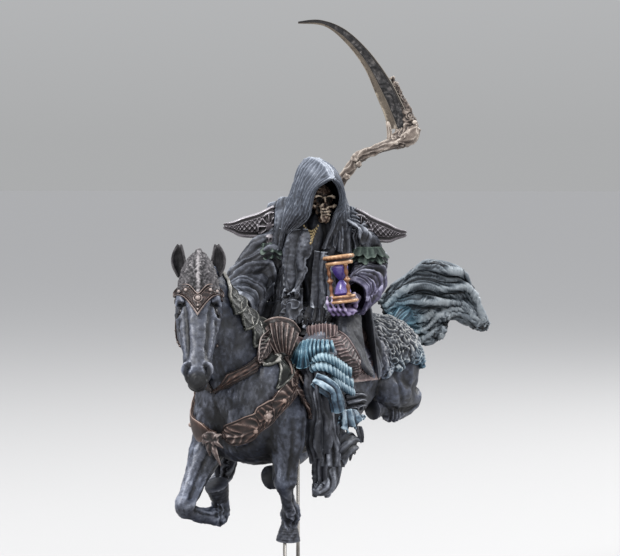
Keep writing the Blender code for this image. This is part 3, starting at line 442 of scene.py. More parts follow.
def paint(
    name, coats, roughness=0.55, metallic=0.0, grain=0.25, bump=0.12, specular=0.4, glow=None, coat=0.0
):
    """A painted finish. coats maps a mark (None for the ground) to its colours from crevice to crest.

    grain is how blotchy the brushwork is and bump how strongly its fine strokes stand up."""
    material = bpy.data.materials.new(name)
    material.use_nodes = True
    nodes, links = material.node_tree.nodes, material.node_tree.links
    shader = nodes["Principled BSDF"]
    shader.inputs["Metallic"].default_value = metallic
    shader.inputs["Specular IOR Level"].default_value = specular
    shader.inputs["Coat Weight"].default_value = coat

    def add(kind, **settings):
        node = nodes.new(kind)
        for key, value in settings.items():
            setattr(node, key, value)
        return node

    place = add("ShaderNodeTexCoord").outputs["Object"]

    def speckle(size, detail=4.0):
        node = add("ShaderNodeTexNoise")
        node.inputs["Scale"].default_value = 1 / (size * MM)
        node.inputs["Detail"].default_value = detail
        links.new(place, node.inputs["Vector"])
        return node.outputs["Fac"]

    def calc(operation, a, b, clamp=False):
        node = add("ShaderNodeMath", operation=operation, use_clamp=clamp)
        for socket, value in zip(node.inputs, (a, b)):
            if isinstance(value, (int, float)):
                socket.default_value = value
            else:
                links.new(value, socket)
        return node.outputs["Value"]

    tone = add("ShaderNodeAttribute", attribute_name="tone").outputs["Fac"]
    blotch = calc("MULTIPLY", calc("SUBTRACT", speckle(1.1), 0.5), grain)
    fleck = calc("MULTIPLY", calc("SUBTRACT", speckle(0.22), 0.5), grain * 1.2)
    level = calc("ADD", tone, calc("ADD", blotch, fleck), clamp=True)
    base = None
    for mark, colours in coats.items():
        ramp = add("ShaderNodeValToRGB")
        stops = ramp.color_ramp.elements
        while len(stops) < len(colours):
            stops.new(0.5)
        for k, value in enumerate(colours):
            stops[k].position = k / (len(colours) - 1)
            stops[k].color = colour(*value)
        links.new(level, ramp.inputs["Fac"])
        if base is None:
            base = ramp.outputs["Color"]
            continue
        mix = add("ShaderNodeMix", data_type="RGBA")
        share = add("ShaderNodeAttribute", attribute_name=mark).outputs["Fac"]
        links.new(share, mix.inputs["Factor"])
        links.new(base, mix.inputs["A"])
        links.new(ramp.outputs["Color"], mix.inputs["B"])
        base = mix.outputs["Result"]
    links.new(base, shader.inputs["Base Color"])
    rough_range = add("ShaderNodeMapRange")
    rough_range.inputs["To Min"].default_value = min(1.0, roughness + 0.12)
    rough_range.inputs["To Max"].default_value = max(0.05, roughness - 0.1)
    links.new(level, rough_range.inputs["Value"])
    links.new(rough_range.outputs["Result"], shader.inputs["Roughness"])
    if bump:
        height = add("ShaderNodeBump")
        height.inputs["Strength"].default_value = bump
        height.inputs["Distance"].default_value = 0.06 * MM
        links.new(speckle(0.16, 6.0), height.inputs["Height"])
        links.new(height.outputs["Normal"], shader.inputs["Normal"])
    # a painted glow: emission on a surface that is no lamp
    if glow:
        shader.inputs["Emission Color"].default_value = colour(*glow[0])
        shader.inputs["Emission Strength"].default_value = glow[1]
    return material


def drape(rows, place, columns, lines, thickness, relief, edge=0.5, outside=None, tear=0.0):
    """A sheet through rows of points, top to bottom, each row from left to right; place() turns them to mm.

    tear is how deep its sides and its hem are torn."""
    grid = [place(*np.array(row, float).T) for row in rows]

    def surface(u, v):
        jag = tear * (np.sin(23 * v + 1) + 0.7 * np.sin(47 * v)) * (2 * u - 1) ** 5 * 0.05
        sheet = np.stack([spline(row, np.clip(u + jag * step(0.05, 0.4, v), 0, 1)) for row in grid])
        hem = tear * (0.6 * np.sin(19 * u) + 0.4 * np.sin(43 * u + 2)) * step(0.7, 1.0, v)
        return spline(sheet, v) - hem[..., None] * UP

    return slab(surface, columns, lines, thickness, relief, edge, outside or (lambda p: PLANE_FRONT))


def thinned(obj, share):
    """Leaves this share of a piece's triangles, where its relief needs them."""
    thin = obj.modifiers.new("Thin", "DECIMATE")
    thin.ratio = share
    graph = bpy.context.evaluated_depsgraph_get()
    mesh = bpy.data.meshes.new_from_object(obj.evaluated_get(graph), depsgraph=graph)
    obj.modifiers.clear()
    dense, obj.data = obj.data, mesh
    bpy.data.meshes.remove(dense)
    mesh.name = obj.name
    mesh.shade_smooth()


def piece(name, form, material, slot, *nodes, tone=None, keep=0.33, **brush):
    """A finished piece: its mesh, its tone and marks for the paint, and what it rides on and stands for."""
    mesh = mesh_of(name, form)
    form.marks["tone"] = brush_and_shade_tone(form, **brush) if tone is None else tone
    for key, values in form.marks.items():
        attribute = mesh.attributes.new(key, "FLOAT", "POINT")
        attribute.data.foreach_set("value", values.astype(np.float32))
    obj = bpy.data.objects.new(name, mesh)
    bpy.context.scene.collection.objects.link(obj)
    mesh.materials.append(material)
    if keep < 1:
        thinned(obj, keep)
    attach(obj, "root")
    if nodes:
        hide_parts(*nodes)
    return obj


class Skin:
    """A form to lay harness and cloth on."""

    def __init__(self, form):
        faces = [tuple(int(i) for i in face if i >= 0) for face in form.faces]
        self.tree = BVHTree.FromPolygons([Vector(p) for p in form.points], faces)

    def nearest(self, places, lift):
        """The nearest places on the skin, lifted along its normal."""
        flat = places.reshape(-1, 3)
        lifts = np.broadcast_to(lift, places.shape[:-1]).ravel()
        out = np.empty_like(flat)
        for k, place in enumerate(flat):
            found, normal, _, _ = self.tree.find_nearest(Vector(place))
            out[k] = found + normal * lifts[k]
        return out.reshape(places.shape)

    def outward(self, inside, directions, lift):
        """Where rays leave the skin for the last time, lifted along them."""
        starts = np.broadcast_to(inside, directions.shape).reshape(-1, 3)
        ways = unit(directions).reshape(-1, 3)
        lifts = np.broadcast_to(lift, directions.shape[:-1]).ravel()
        out = np.empty_like(ways)
        for k, (start, way) in enumerate(zip(starts, ways)):
            ray, place = Vector(way), Vector(start)
            while True:
                hit = self.tree.ray_cast(place + ray * 1e-3, ray)[0]
                if hit is None:
                    break
                place = hit
            out[k] = place + ray * lifts[k]
        return out.reshape(directions.shape)


# The horse


TRUNK = [
    ((0, -33.5, 54), 3, 4),
    ((0, -32, 54.5), 7.5, 8.5),
    ((0, -28, 55.5), 10.5, 12.3),
    ((0, -21, 57), 12, 14.8),
    ((0, -11, 57.5), 12.2, 14.8),
    ((0, 0, 58), 12.8, 13.8),
    ((0, 10, 60), 12.6, 12),
    ((0, 20, 63.8), 11.4, 10),
    ((0, 29, 64.2), 12.2, 11),
    ((0, 36, 63.8), 11, 10.8),
    ((0, 41, 63), 7.5, 8.6),
    ((0, 43.5, 62.5), 3, 4.5),
]
NECK = [
    ((0, -7, 61), 8.5, 12.3),
    ((0, -15.4, 63), 8.8, 12.2),
    ((-0.2, -23.2, 67.3), 8.1, 10.8),
    ((-1, -28.7, 72.9), 7.0, 9.0),
    ((-2.2, -32.4, 79.1), 5.7, 7.6),
    ((-3.3, -34.6, 85.4), 4.7, 6.3),
    ((-3.8, -36, 90), 3.6, 4.6),
]
POLL = vec(-3.7, -36, 90)
NOSE = vec(6.8, -50.5, 64.5)
HEAD_AXIS = unit(NOSE - POLL)
HEAD_LEFT = heading(math.degrees(math.atan2(NOSE[0] - POLL[0], POLL[1] - NOSE[1])))[1]
HEAD_FACE = np.cross(HEAD_AXIS, HEAD_LEFT)
HEAD_AXES = (HEAD_LEFT, HEAD_AXIS, HEAD_FACE)
VIEW_MIDDLE = vec(-1.87, 7.19, 0)
PLANE_RIGHT = vec(0.819, 0.574, 0)
PLANE_FRONT = vec(0.574, -0.819, 0)
PHOTO_MIDDLE = (310, 278)
PIXELS_PER_MM = 4
MIDDLE_HEIGHT = 86.74
VIEW_DISTANCE = 650
VIEW_SLOPE = 0.035


def faced(right, height, front):
    """Places by their distances to the right and the front of the upright plane that faces the viewer."""
    return (
        VIEW_MIDDLE
        + np.multiply.outer(right, PLANE_RIGHT)
        + np.multiply.outer(front, PLANE_FRONT)
        + np.multiply.outer(height, UP)
    )


def read_off(*rows):
    """Rows of (across, down, front) as rows of (right, height, front), in mm to the nearest tenth.

    across and down are pixel places, and front is how far each lies before the upright plane."""
    table = []
    for row in rows:
        places = []
        for across, down, front in row:
            scale = (1 - front / VIEW_DISTANCE) / PIXELS_PER_MM
            right = (across - PHOTO_MIDDLE[0]) * scale
            height = MIDDLE_HEIGHT + (PHOTO_MIDDLE[1] - down) * scale + VIEW_SLOPE * front
            places.append((round(right, 1), round(height, 1), front))
        table.append(places)
    return table


HEAD = [
    (0, 3.6, 4.2),
    (4, 4.8, 5.7),
    (8, 5.4, 6.8),
    (12, 5.3, 7.3),
    (15, 4.9, 7.1),
    (18, 4.3, 6.2),
    (21, 3.6, 5.0),
    (24, 3.1, 4.2),
    (26.5, 3.3, 4.0),
    (28.6, 3.3, 3.6),
    (30.4, 2.8, 3.0),
    (31.6, 2.0, 2.1),
    (32.2, 0.8, 1.0),
]
FACE_LINE = 3.6
LEFT_FORE = [
    ((8, -20, 60), 4.6, 7),
    ((9.4, -20, 54), 5.2, 6.4),
    ((10, -20, 48.5), 4.2, 5),
    ((9.9, -20, 43.5), 2.9, 3.5),
    ((9.6, -20, 39.5), 2.6, 3),
    ((8.9, -18.4, 37), 1.8, 2.2),
    ((7.3, -15, 33.2), 1.55, 1.9),
    ((6.2, -12.6, 30.4), 2.1, 2.4),
    ((5.5, -11.9, 28.4), 1.7, 1.9),
    ((5, -11.6, 26.6), 2.0, 2.2),
]
LEFT_FORE_HOOF = [
    ((5.1, -11.7, 27.2), 1.9, 2.1), ((4.9, -11.6, 25.6), 2.4, 2.7), ((4.7, -11.5, 23.5), 2.9, 3.2)
]
RIGHT_FOREARM = [
    ((-8, -19, 60), 4.6, 7),
    ((-9.2, -21.5, 52.5), 5, 5.8),
    ((-9.3, -26, 45.5), 4, 4.6),
    ((-9.2, -30.5, 39.3), 2.8, 3.2),
    ((-9, -33.8, 34.8), 2.3, 2.6),
    ((-9, -35.2, 32.9), 2.5, 2.6),
    ((-9, -35.8, 31.8), 1.2, 1.3),
]
RIGHT_SHIN = [
    ((-9, -35, 32.6), 2.1, 2.2),
    ((-9, -30, 30.8), 1.55, 1.9),
    ((-9, -25, 29.7), 1.6, 2),
    ((-8.9, -22, 29.9), 2.1, 2.4),
    ((-8.7, -20.8, 31.4), 1.8, 2),
    ((-8.4, -21.6, 33.8), 2.0, 2.2),
]
RIGHT_FORE_HOOF = [
    ((-8.5, -21.2, 33), 1.9, 2.1), ((-8.3, -22.2, 35.2), 2.4, 2.7), ((-8.1, -23.4, 37.4), 2.9, 3.2)
]
RIGHT_GASKIN = [
    ((-7, 30, 62), 5, 8.5),
    ((-9.4, 22, 56), 4.6, 7),
    ((-9.8, 17, 51.5), 4, 5),
    ((-9.4, 17, 47), 2.7, 3.3),
    ((-8.8, 18, 43.6), 2.3, 2.8),
    ((-8.6, 18.4, 42.2), 1.2, 1.4),
]
RIGHT_HIND_SHIN = [
    ((-8.8, 17.6, 43.8), 1.9, 2.4),
    ((-8.1, 13, 42), 1.6, 1.9),
    ((-7.2, 7.5, 40.4), 1.6, 1.9),
    ((-6.4, 3, 39.4), 2.1, 2.4),
    ((-5.9, 0.4, 38.9), 1.8, 2),
    ((-5.4, -2.2, 38.4), 2.0, 2.3),
]
RIGHT_HIND_HOOF = [
    ((-5.6, -1.4, 38.6), 1.9, 2.1), ((-5.2, -3.4, 38), 2.4, 2.7), ((-4.9, -5.4, 37.6), 2.8, 3.1)
]
LEFT_GASKIN = [
    ((7, 29, 64), 5, 8.5),
    ((9.4, 23.4, 59.6), 4.4, 5),
    ((9.8, 28.5, 57), 3.6, 4),
    ((9.6, 34, 55.8), 2.6, 3),
    ((9.4, 38, 55.2), 2.2, 2.8),
    ((9.3, 39.4, 54.8), 1, 1.3),
]
LEFT_HIND_SHIN = [
    ((9.4, 38, 54.6), 1.9, 2.2),
    ((9.2, 34.5, 52.6), 1.6, 1.9),
    ((8.9, 31, 51.9), 1.6, 1.9),
    ((8.6, 28.2, 52), 2, 2.2),
    ((8.3, 26.4, 53.2), 1.7, 1.9),
    ((7.8, 24.6, 53.6), 2.0, 2.1),
]
LEFT_HIND_HOOF = [((8, 25.4, 53.5), 1.8, 1.9), ((7.6, 23.6, 53.6), 2.3, 2.4), ((7.2, 21.6, 53.4), 2.8, 2.9)]
HOOVES = {
    "left_fore_hoof": LEFT_FORE_HOOF,
    "right_fore_hoof": RIGHT_FORE_HOOF,
    "right_hind_hoof": RIGHT_HIND_HOOF,
    "left_hind_hoof": LEFT_HIND_HOOF,
}


def on_head(left, down, front):
    """A place on the head: to its left, down from the poll, and forward of its axis."""
    return (
        POLL
        + np.multiply.outer(left, HEAD_LEFT)
        + np.multiply.outer(down, HEAD_AXIS)
        + np.multiply.outer(front, HEAD_FACE)
    )


def horse_body():
    """Trunk, neck and legs with their muscles, as one skin."""
    forms = [tube(stations, rings=60, sides=36) for stations in (TRUNK, NECK)]
    limbs = (LEFT_FORE, RIGHT_FOREARM, RIGHT_SHIN, LEFT_GASKIN, LEFT_HIND_SHIN, RIGHT_GASKIN, RIGHT_HIND_SHIN)
    forms += [tube(limb, rings=40, sides=24) for limb in limbs]
    for sign in (-1, 1):
        forms += [
            ball((7.2 * sign, 30.5, 62.5), (6, 9.6, 9.4)),
            ball((7.6 * sign, -23, 60), (5, 6.4, 9.4)),
            ball((4.6 * sign, -30.4, 54.5), (4.4, 4, 6.6)),
            ball((9.8 * sign, -16.5, 57), (3.4, 5, 6.5)),
        ]
    for knee, size in (((9.7, -20.6, 39.6), 2.6), ((-9, -35, 33.6), 2.5)):
        forms.append(ball(knee, (size, size, size * 1.15)))
    skin = fused(forms, 0.36, smooth=4)
    skin = carved(skin, horse_muscles() + leg_sinews())
    return feathered(skin)


def horse_muscles():
    """Strokes that part the muscles of the chest, shoulders, ribs and haunches."""
    strokes = [
        ([(0, -34, 60), (0, -34.6, 54), (0, -33, 48)], 0.8, -0.9),
        ([(0, -38.5, 72), (0, -37.5, 67), (0, -35.5, 62)], 0.9, -0.4),
    ]
    for sign in (-1, 1):
        strokes += [
            (
                [(11 * sign, -13, 68), (13 * sign, -17, 60), (12.6 * sign, -21, 52), (10 * sign, -24, 47)],
                0.7,
                -0.7,
            ),
            ([(8 * sign, -26, 66), (11 * sign, -27, 59), (9.5 * sign, -30, 51)], 0.7, -0.6),
            ([(13.5 * sign, -12, 58), (14 * sign, -13.5, 53), (12 * sign, -17, 47)], 0.8, -0.6),
            ([(12.6 * sign, -18.5, 58), (13 * sign, -20, 53), (11 * sign, -21.5, 46)], 0.8, 0.45),
            ([(4 * sign, -35, 57), (5.5 * sign, -34.4, 52), (4 * sign, -31.6, 47)], 1.2, 0.5),
            ([(11 * sign, 22, 66), (13.4 * sign, 24, 60), (12.8 * sign, 27, 55)], 0.9, -0.6),
            ([(9 * sign, 41.5, 68), (11.5 * sign, 38, 62), (11.5 * sign, 36, 57)], 0.8, -0.6),
            ([(12 * sign, 31, 70), (13.4 * sign, 31, 63), (12.6 * sign, 30, 57)], 1.3, 0.4),
            ([(6.4 * sign, -36, 84), (8 * sign, -33, 78), (8.8 * sign, -27.5, 71)], 0.8, -0.45),
            ([(4.6 * sign, -40, 78), (6.8 * sign, -36.5, 72), (7.6 * sign, -32, 66)], 0.9, 0.4),
        ]
        for k in range(6):
            y = -7 + 4.4 * k
            strokes.append(
                ([(12.4 * sign, y, 64), (13.2 * sign, y + 1, 57), (10.5 * sign, y + 2.2, 49.5)], 0.6, -0.28)
            )
        for k in range(5):
            y = -34.4 + 2.6 * k
            strokes.append(
                (
                    [
                        ((5.2 + 0.9 * k) * sign, y, 86 - 4.2 * k),
                        ((6.4 + 0.9 * k) * sign, y - 1, 82.5 - 4.2 * k),
                    ],
                    0.4,
                    -0.2,
                )
            )
    return strokes


def leg_sinews():
    """Tendons, knee bones and folds of the legs."""
    strokes = []
    for limb, out in (
        (LEFT_FORE, vec(1, -0.6, 0)), (RIGHT_FOREARM, vec(1, -0.8, 0.4)), (RIGHT_FOREARM, vec(-1, -0.5, 0))
    ):
        path = [vec(*place) for place, _, _ in limb]
        widths = [width for _, width, _ in limb]
        for turn, height in ((-0.9, 0.45), (0.0, -0.5), (0.8, 0.4), (1.6, -0.4)):
            side = unit(out * math.cos(turn) + np.cross(out, vec(0, 0, 1)) * math.sin(turn))
            strokes.append(([p + side * w for p, w in zip(path[1:6], widths[1:6])], 0.6, height))
    for limb, out in (
        (LEFT_FORE[5:8], (1, 0, 0)), (RIGHT_SHIN[:4], (0.5, 0, 1)), (RIGHT_SHIN[:4], (1, 0, 0.2)),
        (LEFT_HIND_SHIN[:3], (1, 0, 0)),
    ):
        strokes.append(([vec(*place) + unit(vec(*out)) * width for place, width, _ in limb], 0.35, -0.4))
        strokes.append(([vec(*place) - unit(vec(*out)) * width for place, width, _ in limb], 0.35, -0.4))
    return strokes


FETLOCKS = [(6.2, -12.2, 30), (-8.9, -22, 29.8), (-6.2, 2.4, 39.2), (8.5, 27.6, 52.2)]


def shaded(form, tone, path, reach, depth):
    """Darkens a tone near a path by up to depth."""
    gap = np.full(len(form.points), np.inf)
    for place in spline([list(p) for p in path], np.linspace(0, 1, 24)):
        gap = np.minimum(gap, np.linalg.norm(form.points - place, axis=1))
    return tone * (1 - depth * np.exp(-((gap / reach) ** 4)))


def feathered(skin):
    """Hair: fine short streaks over the coat and long tufts round the fetlocks."""
    p = skin.points
    heights = 0.13 * rough(p, np.array([0.45, 1.7, 1.2]), 3) + 0.2 * noise(p, np.array([1.8, 3.2, 2.6]), 6)
    for place in FETLOCKS:
        gap = np.linalg.norm(p - vec(*place), axis=1)
        tuft = np.exp(-((gap / 3.0) ** 2))
        turn = 7 * np.arctan2(p[:, 1] - place[1], p[:, 0] - place[0])
        heights += tuft * (0.4 + 0.7 * ridges(turn + 4 * noise(p, 1.2)))
    skin.marks["cool"] = np.clip(0.3 + 0.5 * noise(p, 6.0, 4), 0, 1)
    return skin.lift(heights)


def build_horse():
    """The body, the head and the hooves; gives the skins that the harness lies on."""
    grey = paint(
        "horse_paint",
        {
            None: [(1, 1, 3), (10, 11, 15), (32, 34, 41), (72, 75, 85), (134, 137, 148)],
            "cool": [(1, 2, 6), (9, 11, 19), (28, 33, 46), (64, 72, 90), (128, 138, 158)],
        },
        roughness=0.5,
    )
    body = horse_body()
    skin = Skin(body)
    piece(
        "horse_body", body, grey, "horse_paint", "horse", light=0.14, broad=0.7, fine=0.1, reach=3.4,
        base=0.42, wear=0.08, keep=0.42,
    )
    head = horse_head()
    piece("horse_head", head, grey, "horse_paint", tone=head_tone(head), keep=0.5)
    for name, stations in HOOVES.items():
        hoof = tube(
            stations, rings=24, sides=32, relief=lambda s, a, p: 0.05 * ridges(s * 40) + 0.1 * rough(p, 0.8)
        )
        piece(name, hoof, grey, "horse_paint", base=0.34, keep=1)
    return skin, Skin(head)


COWL_LEFT = read_off(
    [(306, 160, -3), (310, 158.5, 2), (317, 160, 7), (325, 166, 11), (332, 179, 14)],
    [(300, 168, -2), (303, 166, 4), (309, 170, 9.5), (317, 178, 12.8), (319, 187.5, 14)],
    [(296.5, 178, -1), (298, 178, 5), (303, 183, 10), (309.5, 190, 12.8), (314, 196, 13.8)],
    [(293, 190, 0), (294.5, 192, 6), (299, 197, 10), (305, 202, 12.4), (312, 206, 13.2)],
    [(289, 203, 1), (290, 205, 6), (294, 209, 9.6), (301, 213, 11.8), (310.4, 215.5, 12.4)],
    [(285, 213, 2), (286, 216, 6.5), (289, 219, 9.2), (296, 222, 10.6), (305, 222.6, 11.4)],
    [(283.6, 222, 3), (284.6, 225, 7), (286.4, 228, 8.8), (290, 230, 9.6), (296, 229, 10.2)],
    [(285, 228, 5), (286, 230.5, 7.6), (287.4, 233, 8.8), (289, 234.6, 9.2), (290.4, 233.6, 9.4)],
)
COWL_RIGHT = read_off(
    [(308.4, 159.1, -3), (315, 159, 2), (323, 163, 7), (330.4, 170.3, 11.4), (333.4, 180, 14)],
    [(324, 163, -4), (330, 167, 2), (335, 173, 7), (337.6, 180, 10.6), (337.8, 186.6, 12)],
    [(332, 172, -4), (337, 177, 1.5), (340, 184, 6), (341.6, 190, 9), (340.8, 196.2, 10.6)],
    [(338, 188, -3), (342, 191, 1), (343, 197, 5), (342.6, 203, 8), (339.4, 206, 9.6)],
    [(343, 204, -2), (346, 206, 1.5), (345, 210, 5), (341, 213.6, 7.6), (334, 215, 9)],
    [(346, 214, 0), (348, 218, 2.5), (346, 223, 5), (339, 226, 7), (331, 225, 8.8)],
    [(345, 228, 2), (345, 232, 3.6), (341, 236, 5.4), (335, 238, 7), (327.6, 236, 8.8)],
    [(338, 240, 4), (337, 243, 5), (333, 246, 6.4), (328, 248, 7.6), (322.6, 249, 9)],
)
LAPEL = read_off(
    [(281, 226, 5.6), (288, 231, 8), (295, 230, 9.4), (302, 229, 10.2), (307, 229, 10)],
    [(282, 243, 6.4), (287, 241, 8.6), (294, 244, 10.2), (303, 243, 10.8), (311.6, 250, 10.2)],
    [(283, 258, 7.2), (287, 258, 9.4), (293, 259, 10.8), (300, 258, 11.2), (306, 262, 11)],
    [(284, 275, 8), (287, 275, 10), (292, 276, 11.2), (299, 274, 11.6), (307, 272, 11.4)],
    [(284, 288, 8.8), (288, 289, 10.8), (292, 289, 11.6), (296, 287, 12), (301, 285, 11.8)],
    [(284.4, 296, 9.6), (288, 296.4, 11.4), (292, 295.6, 12.2), (296, 294.8, 12.2), (299, 292, 12)],
)
UNDER_LAPEL = read_off(
    [(285, 292, 7.6), (290, 292, 9.6), (296, 291, 10.4), (303, 289, 10)],
    [(283, 306, 10.2), (289, 307, 12.2), (296, 306, 12.8), (302.6, 305, 12.4)],
    [(281, 319.6, 11.6), (288, 321, 13.4), (295, 322.6, 14), (302, 324, 13.4)],
)
PLEATED_STRIP = read_off(
    [(272, 248, 0.6), (278, 249, 4), (284, 248, 6.4)],
    [(272, 270, 1.6), (277.6, 271, 5), (283.6, 271, 7)],
    [(271.6, 293, 3), (277.4, 294, 6.2), (283, 294, 8)],
    [(271, 316, 4.4), (277, 318, 7.4), (283, 319, 9.2)],
)
FRONT_PANEL = read_off(
    [(317, 251, 8.6), (322, 252, 9.6), (328, 252, 9)],
    [(314, 272, 9.6), (320, 273, 10.6), (327, 273, 10)],
    [(312.4, 294, 10.6), (319, 295, 11.6), (327, 294, 11)],
    [(313, 311, 11.2), (319, 313, 12.4), (327, 311, 11.8)],
)
SIDE_PANEL = read_off(
    [(326, 256, 9.4), (330, 256, 10), (336, 257, 9.4)],
    [(324, 274, 10.4), (328, 275, 11.2), (335, 276, 10.4)],
    [(323, 292, 11.4), (328, 295, 12.2), (336, 295, 11.4)],
    [(327, 303, 12), (332, 308, 12.8), (339, 305, 12)],
)
GOWN_HEM = read_off(
    [(301, 306, 11.2), (312, 308, 12.6), (322, 308, 12.8), (333, 304, 12.2)],
    [(302, 316, 12.8), (312, 317, 14.4), (321, 318, 14.6), (331, 315, 13.8)],
    [(303, 325, 14.2), (311, 324, 15.4), (319, 327, 15.8), (329, 322, 14.8)],
)
SHOULDER_RIGHT = read_off(
    [(267, 208, -2.4), (273, 203, -0.5), (281, 199, 1.6), (291, 196, 3.6)],
    [(266.6, 222, 1.6), (273, 221, 4.2), (281, 218, 6), (288, 212, 7)],
    [(268, 237, 3), (274, 238, 5.6), (281, 236, 7.4), (286, 229, 8.4)],
    [(271, 250, 3.8), (276, 252, 6), (281, 250, 7.6), (284, 245, 8.2)],
)
SHOULDER_LEFT = read_off(
    [(340, 202, 1.6), (347, 205, 1.2), (353, 209, -0.4), (360, 215, -3)],
    [(338, 216, 5), (345, 219, 4.6), (352, 223, 3), (359, 229, 0)],
    [(334, 231, 7), (342, 234, 6.6), (349, 238, 4.8), (356, 243, 1.8)],
    [(331, 247, 8), (339, 252, 7.6), (347, 255, 5.8), (354, 256, 3)],
)
SHOULDER_STRAP = read_off(
    [(350, 211, 2.2), (354, 212, 1.8), (358.4, 214.6, 0.4)],
    [(350.6, 222, 4.8), (354.4, 223, 4.6), (358.6, 225, 3.2)],
    [(351.4, 232, 5.8), (354.8, 233.4, 5.6), (358, 234.4, 4.2)],
)
KNEE_ROBE = read_off(
    [(303, 372, 24), (307, 369, 27), (314, 370, 28.6), (320, 374, 28.4), (326, 380, 26.4), (331, 386, 23)],
    [
        (305, 388, 24.6), (310, 387, 28), (317, 388, 29.2), (323, 391, 28.8), (329, 396, 27),
        (335, 402, 23.4),
    ],
    [
        (308, 410, 24.6), (313.6, 410, 27.8), (320, 410, 28.8), (326, 411, 28.2), (332, 414, 26.2),
        (337, 418, 23.4),
    ],
    [
        (309.4, 435, 24.2), (315, 435, 27.2), (321, 434, 28.4), (327, 433, 27.8), (333, 434, 26),
        (339, 437, 23.2),
    ],
    [
        (312, 460, 24), (317, 461, 26.6), (322, 458, 27.8), (327, 455, 27.2), (332, 452, 25.6),
        (337, 450, 23.2),
    ],
)
TONGUE = read_off(
    [(312.6, 383, 28.8), (314.6, 379, 30.2), (316.6, 375, 29.2)],
    [(320, 390, 29.4), (324.6, 384.8, 31.4), (328.4, 380, 29.8)],
    [(327.4, 396, 29.2), (333, 391, 31.2), (338, 387, 29.4)],
    [(331.8, 405, 28.6), (337, 402, 30.8), (342.6, 400, 29)],
    [(333.6, 412, 28.2), (338.6, 413.6, 30), (343.6, 411, 28.6)],
)
FAN = read_off(
    [
        (302, 344, 24.6), (304, 342, 26), (307, 340.4, 26.8), (312, 340.4, 27.4), (318, 341, 27.8),
        (325, 341.6, 27.4), (332, 342.6, 26.2),
    ],
    [
        (296.6, 350.6, 26.8), (300, 354, 28.8), (305.6, 354, 30.2), (310.6, 350.6, 30.6),
        (317, 348.6, 30.4), (325, 347, 29.8), (333, 346.8, 28),
    ],
    [
        (293.4, 357, 26), (297, 367, 27.8), (305, 368.4, 29.4), (309.4, 361, 29.8), (316, 355.4, 30),
        (324.4, 352.4, 29.4), (333.6, 351, 27.4),
    ],
)
TIER_1 = read_off(
    [
        (309, 358, 27.4), (315, 353.6, 28), (321, 352.2, 28), (328, 354.4, 26.8), (335, 358.6, 24.8),
        (342, 363.6, 22.4), (350, 369, 19.6),
    ],
    [
        (309.4, 361.4, 28.6), (315.4, 357.4, 29.8), (321.4, 356.4, 30), (328, 358.6, 28.8),
        (335, 363, 26.6), (341.8, 368, 24), (349.6, 373, 20.8),
    ],
    [
        (310.6, 364.6, 28.4), (316.4, 361.6, 29.8), (322, 361.4, 30), (328.4, 363.6, 28.8),
        (335, 368, 26.6), (341.4, 373.2, 23.8), (349, 377.6, 20.6),
    ],
)
TIER_2 = read_off(
    [
        (311, 365, 27.4), (317, 362.4, 28), (323, 362.4, 28), (329.6, 365.4, 26.6), (336.6, 369.6, 24.2),
        (343.6, 374.6, 21.6), (351.6, 380, 18.8),
    ],
    [
        (312, 368.6, 28.4), (317.6, 366.2, 29.6), (323.6, 366.6, 29.6), (330, 370, 28.2),
        (337, 374.6, 25.8), (344, 379.6, 23), (351.6, 384.6, 20),
    ],
    [
        (313.4, 372, 28.2), (318.4, 370, 29.4), (324, 371, 29.4), (330.4, 374.6, 28), (336.8, 379.6, 25.6),
        (343.6, 385, 22.8), (351.4, 389.4, 19.8),
    ],
)
TIER_3 = read_off(
    [(329, 376, 25.6), (335, 379, 24.6), (341, 382.6, 22.6), (347, 387, 20.6), (353, 391, 18.8)],
    [(331, 381, 27), (336.6, 384, 26), (342, 387.6, 24), (347.6, 391, 21.8), (352.6, 394.4, 19.8)],
    [(333.6, 385.6, 26.8), (338.4, 389, 25.8), (343.4, 392, 23.6), (348, 395.2, 21.4), (352, 398, 19.6)],
)
SMALL_RUFFLES = read_off(
    [(344, 395, 21), (351, 393, 20), (358, 392, 18), (366, 393, 15.6)],
    [(346, 402, 22), (353, 400.6, 21), (359, 400, 18.8), (365, 401, 16.6)],
    [(347, 410, 22), (354, 409, 20.8), (360, 409, 18.6), (365, 408, 16.4)],
)
FLOUNCE = read_off(
    [(340, 412, 24.6), (346, 410, 24.4), (351, 409.6, 22.4), (357, 412, 19.6)],
    [(338.6, 420, 26), (346, 419, 26.2), (354, 418, 23.4), (361, 417.4, 19.8)],
    [(337.6, 428, 25.4), (345, 430, 26), (354, 427.4, 23.6), (364.6, 418, 19.6)],
)
DARK_RUFFLES = read_off(
    [(336, 436, 23.4), (343, 433, 23.6), (350, 433, 22), (357, 437, 19.6)],
    [(336, 447, 25), (344, 446, 25.4), (351, 445, 23.4), (357, 446, 20.6)],
    [(335, 457, 24.4), (342, 460, 24.8), (349, 457, 23), (355, 452, 20.6)],
)
LOOSE_STRIP = read_off(
    [(355, 427, 20), (358.4, 426, 19.6), (361.6, 427, 19)],
    [(357, 435, 20.4), (360.2, 434.6, 20.2), (363.2, 434, 19.4)],
    [(359.6, 441, 19.8), (361.4, 442.4, 19.8), (363, 440.6, 19.2)],
)
SHREDS = read_off(
    [(312, 450, 23.6), (318, 448, 26.2), (324, 448, 26.8), (330, 449, 25.4), (336, 449, 22.6)],
    [(313, 470, 24), (318, 470, 26.2), (323, 470, 26.6), (328, 469, 25.2), (333, 466, 22.8)],
    [(314, 489, 24.6), (318, 492, 26), (322, 487, 26.2), (326, 490, 25), (331, 482, 23)],
)
